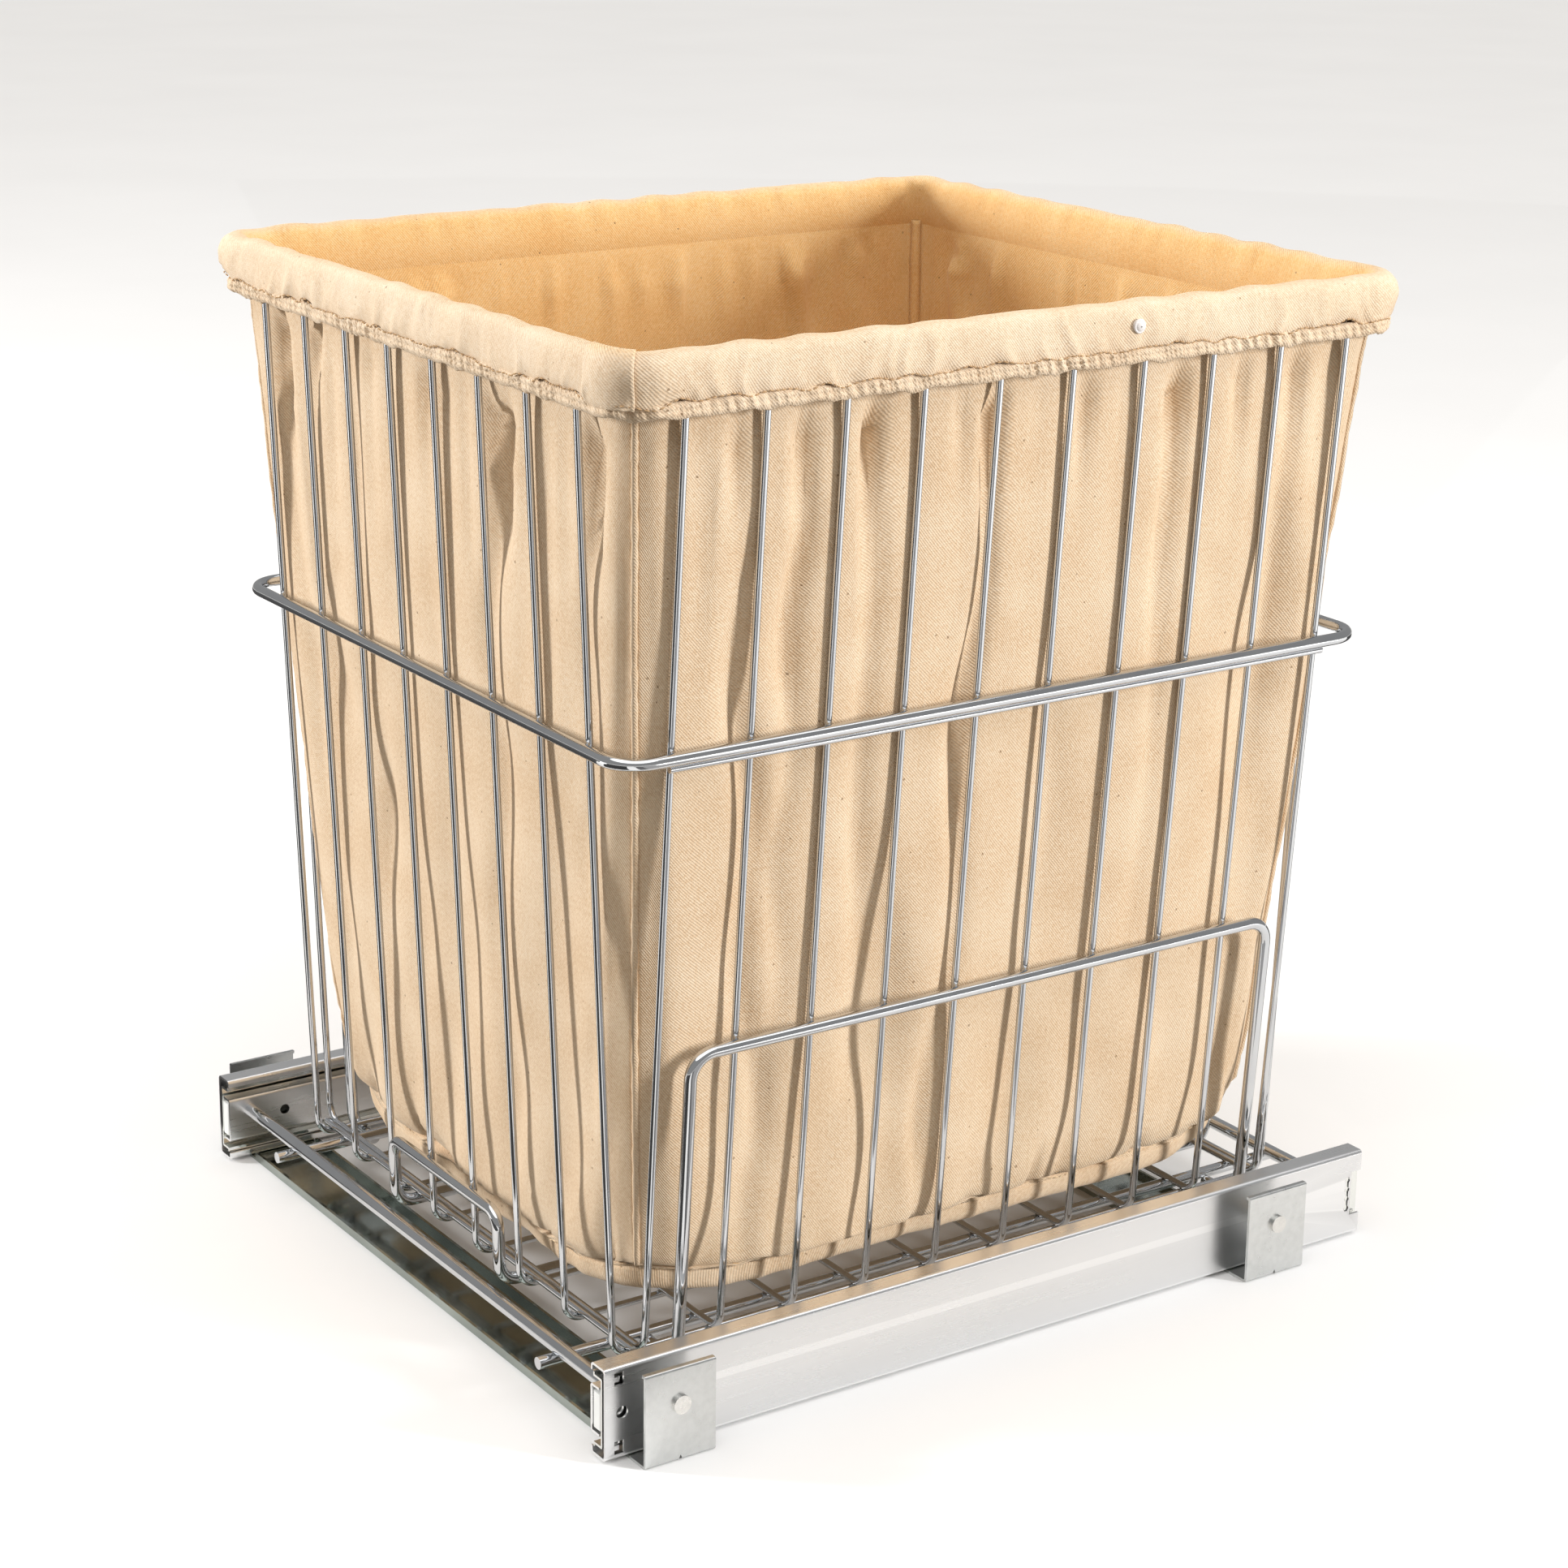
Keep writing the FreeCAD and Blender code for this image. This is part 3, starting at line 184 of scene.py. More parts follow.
ROOM_SEEN = (1.0, 1.0, 1.0)
ROOM_FILL = (1.0, 0.93, 0.84)  # light that has bounced off the warm cloth around the folds
FLOOR_HALF = 80.0
CARD_LIFT = 0.0006
CARD_REACH = (0.34, 4.0)
FLAGS = (  # azimuth, spread and brightness of each dark card that the metal mirrors
    (62.0, 14.0, 0.12), (86.0, 34.0, 0.30), (14.0, 50.0, 0.03), (-62.0, 60.0, 0.05),
    (178.0, 30.0, 0.05), (232.0, 34.0, 0.05),
)

rim_low, rim_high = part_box("rim_ring")
_, bag_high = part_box("liner_bag")
RIM_CENTRE = (rim_low + rim_high) / 2
RIM_HALF = (
    rim_high.x - RIM_CENTRE.x - RIM_WIRE_RADIUS,
    rim_high.y - RIM_CENTRE.y - RIM_WIRE_RADIUS,
)
BAG_TOP_HALF = (bag_high.x, bag_high.y - RIM_CENTRE.y)
BAG_TOP_Z = bag_high.z
HEM_INSIDE_Z = RIM_CENTRE.z - HEM_REACH_INSIDE
BAG_MIDDLE_HALF = [(low + high) / 2 for low, high in zip(BAG_SEAM_HALF, BAG_TOP_HALF)]


# ---- node helpers


def new_material(name):
    """An empty node material, and its shader, already joined to the output."""
    material = bpy.data.materials.new(name)
    material.use_nodes = True
    nodes = material.node_tree.nodes
    nodes.clear()
    output = nodes.new("ShaderNodeOutputMaterial")
    shader = nodes.new("ShaderNodeBsdfPrincipled")
    material.node_tree.links.new(shader.outputs["BSDF"], output.inputs["Surface"])
    return material, shader


def add_node(material, kind, inputs=None, **settings):
    """A node with its settings, and its inputs given as numbers or as other nodes' outputs."""
    node = material.node_tree.nodes.new("ShaderNode" + kind)
    for name, value in settings.items():
        setattr(node, name, value)
    for name, value in (inputs or {}).items():
        if isinstance(value, bpy.types.NodeSocket):
            material.node_tree.links.new(value, node.inputs[name])
        else:
            node.inputs[name].default_value = value
    return node


def maths(material, operation, first, second=0.0):
    """The output of a Math node."""
    return add_node(material, "Math", {0: first, 1: second}, operation=operation).outputs[0]


def weighted(material, *terms):
    """The sum of outputs, each times its own weight."""
    total = None
    for output, weight in terms:
        part = maths(material, "MULTIPLY", output, weight)
        total = part if total is None else maths(material, "ADD", total, part)
    return total


def ramp(material, factor, stops):
    """The colour output of a ColorRamp with stops of (position, colour)."""
    node = add_node(material, "ValToRGB", {"Fac": factor})
    elements = node.color_ramp.elements
    while len(elements) < len(stops):
        elements.new(0.5)
    for element, (position, colour) in zip(elements, stops):
        element.position = position
        element.color = (*colour, 1.0)
    return node.outputs["Color"]


def span(material, value, low, high, to_low=0.0, to_high=1.0):
    """The output of a Map Range node, held inside its range."""
    inputs = {"Value": value, "From Min": low, "From Max": high, "To Min": to_low, "To Max": to_high}
    return add_node(material, "MapRange", inputs).outputs["Result"]


def noise(material, scale, detail=3.0, stretch=(1.0, 1.0, 1.0), coordinates=None):
    """The value of a Noise texture over the piece's own coordinates."""
    if coordinates is None:
        coordinates = add_node(material, "TexCoord").outputs["Object"]
    mapping = add_node(material, "Mapping", {"Vector": coordinates, "Scale": stretch})
    inputs = {"Vector": mapping.outputs["Vector"], "Scale": scale, "Detail": detail}
    return add_node(material, "TexNoise", inputs).outputs["Fac"]


def mix_colours(material, factor, first, second, blend_type="MIX"):
    """The output of a Mix node for colours."""
    node = add_node(material, "Mix", data_type="RGBA", blend_type=blend_type)
    links = material.node_tree.links
    for socket, value in zip((node.inputs[0], node.inputs[6], node.inputs[7]), (factor, first, second)):
        if isinstance(value, bpy.types.NodeSocket):
            links.new(value, socket)
        elif isinstance(value, tuple):
            socket.default_value = (*value, 1.0)
        else:
            socket.default_value = value
    return node.outputs[2]


def set_bump(material, shader, height, distance, strength=1.0):
    """Bump on a shader from a height of 0 to 1, distance metres deep."""
    inputs = {"Height": height, "Distance": distance, "Strength": strength}
    bump = add_node(material, "Bump", inputs)
    material.node_tree.links.new(bump.outputs["Normal"], shader.inputs["Normal"])


def feed(material, shader, **sockets):
    """Links outputs to the shader's sockets, given by name with _ for a space."""
    for name, output in sockets.items():
        material.node_tree.links.new(output, shader.inputs[name.replace("_", " ")])


# ---- materials


def metal(
    name, light, dark, smooth, rough,
    grain=(1.0, 1.0, 1.0), grain_scale=60.0, edge=None, detail=5.0, bump=0.5,
):
    """Plated steel: its colour and gloss drift with haze, fine drawing marks run along its grain, and sharp
    edges may take a painted highlight colour.
    """
    material, shader = new_material(name)
    shader.inputs["Metallic"].default_value = 1.0
    haze = noise(material, 14.0, 4.0)
    marks = noise(material, grain_scale, detail, grain)
    worn = weighted(material, (haze, 0.6), (marks, 0.4))
    colour = ramp(material, worn, [(0.30, dark), (0.62, light)])
    # Painted highlight: sharp edges, found by their pointiness, take the brighter edge colour.
    if edge is not None:
        edge_highlight_mask = span(material, add_node(material, "NewGeometry").outputs["Pointiness"], 0.53, 0.62)
        colour = mix_colours(material, edge_highlight_mask, colour, edge)
    gloss = span(material, worn, 0.3, 0.7, rough, smooth)
    feed(material, shader, Base_Color=colour, Roughness=gloss)
    set_bump(material, shader, marks, METAL_BUMP, bump)
    return material


def channel_metal(name):
    """Bright folded strip: a dark mirror between the slides, and satin on the plates outside them."""
    material, shader = new_material(name)
    shader.inputs["Metallic"].default_value = 1.0
    place = add_node(material, "TexCoord").outputs["Object"]
    across = maths(material, "ABSOLUTE", add_node(material, "SeparateXYZ", {"Vector": place}).outputs["X"])
    on_plate = span(material, across, PLATE_START, PLATE_START + PLATE_BLEND)
    haze = noise(material, 18.0, 4.0)
    marks = noise(material, 260.0, 4.0, (0.03, 1.0, 1.0))
    mirror = ramp(material, haze, [(0.32, (0.28, 0.31, 0.28)), (0.66, (0.44, 0.48, 0.44))])
    satin = ramp(material, marks, [(0.30, (0.63, 0.64, 0.63)), (0.66, (0.70, 0.71, 0.70))])
    gloss = weighted(material, (span(material, marks, 0.3, 0.7, 0.09, 0.16), 1.0), (on_plate, 0.18))
    feed(material, shader, Base_Color=mix_colours(material, on_plate, mirror, satin), Roughness=gloss)
    set_bump(material, shader, marks, METAL_BUMP, 0.5)
    return material


def plastic(name, light, dark, roughness, bump_scale):
    """Moulded plastic with a faint mottle and a fine moulded grain."""
    material, shader = new_material(name)
    shader.inputs["Coat Weight"].default_value = 0.15
    mottle = noise(material, 90.0, 3.0)
    grain = noise(material, bump_scale, 2.0)
    feed(
        material,
        shader,
        Base_Color=ramp(material, mottle, [(0.35, dark), (0.65, light)]),
        Roughness=span(material, grain, 0.3, 0.7, roughness * 0.85, roughness * 1.15),
    )
    set_bump(material, shader, grain, 0.00005)
    return material


def twill_height(material, around, up):
    """The height of a twill weave: diagonal ribs, cut by the single yarns that cross them."""
    turn = 2.0 * math.pi
    diagonal = maths(material, "ADD", around, maths(material, "MULTIPLY", up, 0.85))
    ribs = maths(material, "SINE", maths(material, "MULTIPLY", diagonal, turn / TWILL_PERIOD))
    yarns = maths(material, "SINE", maths(material, "MULTIPLY", up, turn / YARN_PERIOD))
    return maths(material, "ADD", weighted(material, (ribs, 0.35), (yarns, 0.12)), 0.5)


def toned(material, tone, colours):
    """Cloth colour that goes from dark to light with the tone; colours are (light, middle, dark)."""
    return ramp(material, tone, list(zip(TONES, reversed(colours))))


def canvas(name, colours, pucker=0.0, inside=None):
    """Unbleached cotton twill: yarn colour that drifts, slubs, the dark flecks of cotton seed, and painted
    shade in the weave's grooves.

    inside gives the three colours that the hem turns to past its top: the inside's painted bounce light.
    """
    material, shader = new_material(name)
    shader.inputs["Sheen Weight"].default_value = 0.25
    shader.inputs["Sheen Roughness"].default_value = 0.5
    shader.inputs["Sheen Tint"].default_value = (1.0, 0.93, 0.8, 1.0)
    shader.inputs["Specular IOR Level"].default_value = 0.2
    place = add_node(material, "Attribute", attribute_name=WEAVE, attribute_type="GEOMETRY").outputs["Vector"]
    axes = add_node(material, "SeparateXYZ", {"Vector": place})
    around, up = axes.outputs["X"], axes.outputs["Y"]

    weave = twill_height(material, around, up)
    slubs = noise(material, 620.0, 2.0, (1.0, 0.8, 1.0), place)
    cloud = noise(material, 26.0, 3.0, (1.0, 1.0, 1.0), place)
    grit = noise(material, 1500.0, 2.0, (1.0, 1.0, 1.0), place)
    tone = weighted(material, (slubs, 0.36), (cloud, 0.28), (grit, 0.36))
    colour = toned(material, tone, colours)
    if inside is not None:
        # Past its top the hem's colour goes over to the inside's painted bounce light.
        painted_bounce_past_top = span(material, up, *HEM_TURN)
        colour = mix_colours(material, painted_bounce_past_top, colour, toned(material, tone, inside))
    # Painted shade: the colour darkens where the twill's grooves lie.
    twill_groove_shade = span(material, weave, 0.15, 0.85, 0.78, 1.0)
    colour = mix_colours(material, 1.0, colour, grey(material, twill_groove_shade), "MULTIPLY")

    cells = add_node(material, "TexVoronoi", {"Vector": place, "Scale": 150.0, "Randomness": 1.0})
    chance = add_node(material, "SeparateXYZ", {"Vector": cells.outputs["Color"]}).outputs["X"]
    size = span(material, chance, 0.40, 1.0, 0.0, 0.105)
    fleck = maths(material, "LESS_THAN", cells.outputs["Distance"], size)
    colour = mix_colours(material, maths(material, "MULTIPLY", fleck, FLECK_STRENGTH), colour, FLECK_COLOUR)

    roughness = span(material, weave, 0.0, 1.0, 0.95, 0.80)
    feed(material, shader, Base_Color=colour, Roughness=roughness)
    height = weighted(material, (weave, 1.0), (slubs, 0.5))
    if pucker:
        crimp = noise(material, pucker, 2.0, (1.0, 0.25, 1.0), place)
        height = weighted(material, (height, 1.0), (crimp, 3.0))
    set_bump(material, shader, height, 0.00022, 0.8)
    return material


def grey(material, value):
    """A colour output with the same value in all its channels."""
    inputs = {"Red": value, "Green": value, "Blue": value}
    return add_node(material, "CombineColor", inputs).outputs["Color"]


def thread(name, light, dark):
    """Twisted sewing thread."""
    material, shader = new_material(name)
    twist = noise(material, 2600.0, 2.0)
    feed(
        material,
        shader,
        Base_Color=ramp(material, twist, [(0.35, dark), (0.65, light)]),
        Roughness=span(material, twist, 0.3, 0.7, 0.75, 0.55),
    )
    set_bump(material, shader, twist, 0.0001)
    return material


def floor_paper(name):
    """The pale studio paper that the object stands on."""
    material, shader = new_material(name)
    mottle = noise(material, 3.0, 3.0)
    colour = ramp(material, mottle, [(0.3, (0.86, 0.86, 0.86)), (0.7, (0.88, 0.88, 0.88))])
    feed(material, shader, Base_Color=colour)
    shader.inputs["Roughness"].default_value = 0.9
    return material


# ---- mesh building


def make_object(name, points, faces, material, weave=None, smooth=True):
    """A mesh object from arrays of points and faces, linked to the scene."""
    mesh = bpy.data.meshes.new(name)
    mesh.from_pydata([tuple(p) for p in points], [], [tuple(f) for f in faces])
    mesh.polygons.foreach_set("use_smooth", [smooth] * len(mesh.polygons))
    if weave is not None:
        attribute = mesh.attributes.new(WEAVE, "FLOAT_VECTOR", "POINT")
        attribute.data.foreach_set("vector", np.asarray(weave, np.float32).ravel())
    mesh.materials.append(material)
    mesh.update()
    piece = bpy.data.objects.new(name, mesh)
    bpy.context.scene.collection.objects.link(piece)
    return piece


def grid_faces(rows, columns, closed_columns=True, closed_rows=False, start=0):
    """Quads of a grid of points in rows, which may close on itself either way."""
    faces = []
    for i in range(rows if closed_rows else rows - 1):
        for j in range(columns if closed_columns else columns - 1):
            a = i * columns
            b = ((i + 1) % rows) * columns
            k = (j + 1) % columns
            faces.append((start + a + j, start + a + k, start + b + k, start + b + j))
    return faces


class Outline:
    """A rounded rectangle about the liner's centre.

    It is walked anticlockwise from the middle of its front right corner.
    """

    def __init__(self, half_x, half_y, corner):
        self.half = (half_x, half_y)
        self.corner = corner
        arc = math.pi * corner / 2
        flat_x, flat_y = 2 * (half_x - corner), 2 * (half_y - corner)
        self.lengths = np.array([arc, flat_y, arc, flat_x] * 2)
        self.ends = np.concatenate([[0.0], np.cumsum(self.lengths)])
        self.length = float(self.ends[-1])

    def locate(self, shares):
        """The stretch that each share of the way round falls in, and how far along it.

        Even stretches are corners and odd ones are the straight sides after them.
        """
        along = (np.asarray(shares) * self.length + self.lengths[0] / 2) % self.length
        stretch = np.clip(np.searchsorted(self.ends, along, side="right") - 1, 0, 7)
        return stretch, (along - self.ends[stretch]) / self.lengths[stretch]

    def corner_middles(self):
        """How far round the middle of each corner is: front right, rear right, rear left, front left."""
        return self.ends[[0, 2, 4, 6]]

    def points(self, stretch, part):
        """Points and outward normals at places found by locate."""
        x, y = self.half[0] - self.corner, self.half[1] - self.corner
        centres = np.array([(x, -y), (x, y), (-x, y), (-x, -y)])
        corner, on_side = stretch // 2, stretch % 2
        from_centre, to_centre = centres[corner], centres[(corner + 1) % 4]
        centre = from_centre + (to_centre - from_centre) * (part * on_side)[:, None]
        angle = (corner - 1 + np.where(on_side, 1.0, part)) * math.pi / 2
        normal = np.stack([np.cos(angle), np.sin(angle)], axis=1)
        return centre + normal * self.corner, normal


RIM = Outline(*RIM_HALF, RIM_CORNER)


def rim_places(start, length, count, closed):
    """Points, outward normals and metres along, evenly spaced on a stretch of the rim ring."""
    along = start + length * np.arange(count) / (count if closed else count - 1)
    points, normals = RIM.points(*RIM.locate(along / RIM.length))
    return points, normals, along


def off_rim(base, normals, out, up):
    """Points this far outward and up from places on the rim ring's centreline."""
    x = RIM_CENTRE.x + base[:, 0] + normals[:, 0] * out
    y = RIM_CENTRE.y + base[:, 1] + normals[:, 1] * out
    return np.stack([x, y, RIM_CENTRE.z + up], axis=-1)


def lengths_along(path):
    """How far along a path each of its points is."""
    steps = np.linalg.norm(np.diff(path, axis=0), axis=1)
    return np.concatenate([[0.0], np.cumsum(steps)])


def rim_surface(
    name, section, material, spacing, stretch=None, closed_section=False, shift=None, thickness=None
):
    """A surface swept round the rim ring, or along a stretch (start, length) of it.

    Round the whole rim, it starts and ends at the front right corner, where the hem's lap hides the join.
    section is a line of (outward, up) from the rim's centreline, which closes on itself if closed_section.
    shift(metres round, share of the section) gives more (outward, up) for each point.
    """
    start, length = stretch or (0.0, RIM.length)
    count = round(length / spacing) + 1
    base, normals, along = rim_places(start, length, count, closed=False)
    section = np.asarray(section, float)
    rows = len(section)
    around = np.repeat(along[None, :], rows, axis=0)
    share = np.repeat(np.linspace(0.0, 1.0, rows)[:, None], count, axis=1)
    out = np.repeat(section[:, :1], count, axis=1)
    up = np.repeat(section[:, 1:], count, axis=1)
    if shift is not None:
        more_out, more_up = shift(around, share)
        out, up = out + more_out, up + more_up
    points = off_rim(base, normals, out, up).reshape(-1, 3)
    height = np.repeat(lengths_along(section)[:, None], count, axis=1)
    weave = np.stack([around, height, np.zeros_like(around)], axis=2).reshape(-1, 3)
    faces = grid_faces(rows, count, False, closed_section)
    piece = make_object(name, points, faces, material, weave)
    if thickness is not None:
        thicken(piece, thickness)
    return piece


def thicken(piece, thickness, inside=None):
    """Gives a single layer of cloth its thickness, on its inner side, which may have its own material, such
    as the inside canvas with its painted bounce light.
    """
    solid = piece.modifiers.new("Thickness", "SOLIDIFY")
    if inside is not None:
        piece.data.materials.append(inside)
        solid.material_offset = 1
    solid.thickness = thickness
    solid.offset = -1.0
    solid.use_even_offset = False


def waves(rng, count, length_low, length_high, total):
    """Whole numbers of waves round a loop of that total length, with phases and sizes."""
    numbers = np.round(total / rng.uniform(length_low, length_high, count))
    return list(zip(numbers, rng.uniform(0, 2 * math.pi, count), rng.uniform(0.5, 1.0, count)))


def ripple(along, total, terms):
    """A smooth wander between about -1 and 1 that closes on itself round the loop."""
    value = np.zeros_like(along)
    for number, phase, size in terms:
        value += size * np.sin(2 * math.pi * number * along / total + phase)
    return value / math.sqrt(sum(size * size for _, _, size in terms))


# ---- the liner


def bag_outlines(heights):
    """The bag's plain outline at each height: it widens upwards, and its corners get tighter."""
    outlines = []
    for z in heights:
        share = (z - BAG_SEAM_Z) / (BAG_TOP_Z - BAG_SEAM_Z)
        half = [low + (high - low) * share for low, high in zip(BAG_SEAM_HALF, BAG_TOP_HALF)]
        outlines.append(Outline(*half, BAG_CORNER_LOW + (BAG_CORNER_TOP - BAG_CORNER_LOW) * share))
    return outlines


def wrapped(distance, total):
    """A distance round a loop, taken the short way."""
    return (distance + total / 2) % total - total / 2


def hanging_folds(around, z, total, rng):
    """How far folds that hang from the gathers move the cloth off its plain wall, before it settles."""
    fall = (BAG_TOP_Z - z) / (BAG_TOP_Z - BAG_SEAM_Z)
    slow = ripple(around + 0.02 * np.sin(9 * z), total, waves(rng, 4, 0.09, 0.17, total))
    offset = (0.0028 * slow - 0.0025) * np.sin(math.pi * np.clip(fall, 0, 1)) ** 0.5
    count = round(total / FOLD_SPACING)
    for i in range(count):
        centre = (i + rng.uniform(-0.3, 0.3)) * total / count
        width = rng.uniform(*FOLD_WIDTHS)
        depth = rng.uniform(*FOLD_DEPTHS)
        reach = rng.uniform(*FOLD_REACHES)
        wander = rng.uniform(*FOLD_WANDERS) * np.sin(z * rng.uniform(22, 60) + rng.uniform(0, 6.3))
        drift = rng.uniform(*FOLD_DRIFTS) * fall
        fade = np.clip(1.0 - fall / reach, 0.0, 1.0) ** 0.6
        away = wrapped(around - centre - drift - wander, total)
        offset -= depth * fade * np.exp(-((away / width) ** 2))
    return offset


def billows(around, z, total, rng):
    """Soft swellings and hollows, taller than they are wide, between the folds."""
    offset = np.zeros_like(around)
    for _ in range(BILLOW_COUNT):
        centre, height = rng.uniform(0.0, total), rng.uniform(BAG_SEAM_Z, BAG_TOP_Z)
        width, tall = rng.uniform(*BILLOW_WIDTHS), rng.uniform(*BILLOW_HEIGHTS)
        size = rng.uniform(*BILLOW_DEPTHS)
        lean = rng.uniform(*BILLOW_LEANS)
        away = wrapped(around - centre - lean * (z - height), total)
        offset += size * np.exp(-((away / width) ** 2) - ((z - height) / tall) ** 2)
    return offset


def calm_corners(around, total, places):
    """A factor that keeps the folds small next to the corner seams, which are stiff."""
    calm = np.ones_like(around)
    for place in places:
        calm -= 0.85 * np.exp(-((wrapped(around - place, total) / 0.020) ** 4))
    return calm


def corner_valleys(around, total, places):
    """The hollow beside each corner seam's stiff ridge."""
    offset = np.zeros_like(around)
    for place in places:
        away = wrapped(around - place, total)
        offset -= 0.0030 * np.exp(-(((away - 0.0090) / 0.0055) ** 2))
        offset += 0.0010 * np.exp(-((away / 0.0035) ** 2))
    return offset


def seam_puckers(around, z, total, rng):
    """Small puckers that fan up from the bottom seam."""
    rise = np.maximum(z - BAG_SEAM_Z, 0.0)
    fine = ripple(around, total, waves(rng, 5, 0.015, 0.04, total)) * np.exp(-rise / 0.020)
    broad = ripple(around + 0.01 * np.sin(z * 40), total, waves(rng, 4, 0.04, 0.08, total))
    swell = rise / 0.03 * np.exp(1.0 - rise / 0.03)
    return 0.0012 * fine + 0.0034 * swell * broad


def gather_puckers(around, z, total, rng):
    """Fine gathers under the elastic."""
    near = np.exp(-np.maximum(BAG_TOP_Z - z, 0.0) / 0.035)
    return 0.0024 * near * ripple(around, total, waves(rng, 5, 0.012, 0.03, total))


def corner_share(around, total, corners):
    """1 at each of the bag's corners and 0 away from them, times that corner's own weight."""
    share = np.zeros_like(around)
    for place, weight in corners:
        share += weight * np.exp(-((wrapped(around - place, total) / CORNER_REACH) ** 2))
    return share


def settle(points, faces, held):
    """Hangs the cloth by its held points until it stops moving, and returns its points."""
    piece = make_object("settling", points, faces, bpy.data.materials.new("settling"))
    group = piece.vertex_groups.new(name="held")
    group.add([int(i) for i in held], 1.0, "REPLACE")
    modifier = piece.modifiers.new("Cloth", "CLOTH")
    cloth = modifier.settings
    cloth.quality = 5
    cloth.mass = 0.25
    cloth.tension_stiffness = 18.0
    cloth.compression_stiffness = 18.0
    cloth.shear_stiffness = 6.0
    cloth.bending_stiffness = 0.5
    cloth.air_damping = 4.0
    cloth.shrink_min = -CLOTH_SLACK
    cloth.vertex_group_mass = "held"
    modifier.collision_settings.use_collision = False
    modifier.point_cache.frame_start = 1
    modifier.point_cache.frame_end = SETTLE_FRAMES
    scene = bpy.context.scene
    for number in range(1, SETTLE_FRAMES + 1):
        scene.frame_set(number)
    settled = piece.evaluated_get(bpy.context.evaluated_depsgraph_get())
    result = np.zeros(len(points) * 3, np.float32)
    settled.data.vertices.foreach_get("co", result)
    mesh = piece.data
    bpy.data.objects.remove(piece)
    bpy.data.meshes.remove(mesh)
    scene.frame_set(1)
    return result.reshape(-1, 3).astype(float)


def wall_heights():
    """Heights of the wall's rows, from the bottom seam up into the hem, closer together near both."""
    low_count, low_step = WALL_ROWS_NEAR_SEAM
    high_count, high_step = WALL_ROWS_NEAR_TOP
    low = BAG_SEAM_Z + np.arange(low_count) * low_step
    high = BAG_TOP_Z - np.arange(high_count)[::-1] * high_step
    middle = np.linspace(low[-1], high[0], WALL_ROWS_BETWEEN + 2)[1:-1]
    return np.concatenate([low, middle, high, BAG_TOP_Z + np.array(WALL_ROWS_IN_HEM)])


def wall_offset(around, z, middle, rng):
    """How far each point of the wall stands off its plain outline, outwards."""
    total = middle.length
    offset = hanging_folds(around, z, total, rng) + billows(around, z, total, rng)
    offset += seam_puckers(around, z, total, rng) + gather_puckers(around, z, total, rng)
    offset *= calm_corners(around, total, middle.corner_middles())
    offset += corner_valleys(around, total, middle.corner_middles())
    offset *= np.clip((HEM_INSIDE_Z - 0.001 - z) / FOLDS_FADE_IN, 0.0, 1.0)
    return offset * np.clip((z - BAG_SEAM_Z) / 0.012, 0.35, 1.0)


def settled_wall(start, z_rows, faces):
    """The laid-out wall after it has hung by its bottom row and by its rows in the hem."""
    points = start.reshape(-1, 3)
    rows_held = [0, *np.flatnonzero(z_rows >= HEM_INSIDE_Z)]
    held = np.concatenate([np.arange(WALL_COLUMNS) + row * WALL_COLUMNS for row in rows_held])
    moved = settle(points, faces, held) - points
    length = np.linalg.norm(moved, axis=1, keepdims=True)
    points = points + moved * np.minimum(1.0, MOST_SETTLING / np.maximum(length, 1e-9))
    return points.reshape(start.shape)


def bag_wall(material, inside):
    """The liner's wall: a strip of canvas that is gathered to the rim and sewn to the base."""
    rng = np.random.default_rng(LINER_SEED)
    z_rows = wall_heights()
    middle = Outline(*BAG_MIDDLE_HALF, BAG_CORNER_LOW)
    shares = np.arange(WALL_COLUMNS) / WALL_COLUMNS
    stretch, part = middle.locate(shares)
    laid = [outline.points(stretch, part) for outline in bag_outlines(z_rows)]
    base = np.stack([points for points, _ in laid])
    normals = np.stack([normal for _, normal in laid])
    around = np.repeat((shares * middle.length)[None, :], len(z_rows), axis=0)
    z = np.repeat(z_rows[:, None], WALL_COLUMNS, axis=1)

    offset = wall_offset(around, z, middle, rng)
    low = np.exp(-np.maximum(z - BAG_SEAM_Z, 0.0) / CORNER_FADE)
    corners = corner_share(around, middle.length, zip(middle.corner_middles(), CORNER_WEIGHTS))
    offset -= low * corners * CORNER_DRAWN_IN
    x = base[..., 0] + normals[..., 0] * offset
    y = RIM_CENTRE.y + base[..., 1] + normals[..., 1] * offset
    grid = np.stack([x, y, z + low * corners * CORNER_DRAWN_UP], axis=2)
    grid = settled_wall(grid, z_rows, grid_faces(len(z_rows), WALL_COLUMNS))
    rows_up = np.arange(len(z_rows))[:, None] * LEAST_RISE
    grid[..., 2] = np.maximum.accumulate(grid[..., 2] - rows_up, axis=0) + rows_up
    grid = inside_wires(grid, base, normals)
    around, z, normals, grid = [
        np.concatenate([values, values[:, :1]], axis=1) for values in (around, z, normals, grid)
    ]
    around[:, -1] = middle.length
    weave = np.stack([around, z, np.zeros_like(z)], axis=2)
    faces = grid_faces(len(z_rows), WALL_COLUMNS + 1, closed_columns=False)
    piece = make_object("liner_wall", grid.reshape(-1, 3), faces, material, weave.reshape(-1, 3))
    thicken(piece, CLOTH_THICKNESS, inside)
    return piece, grid, normals


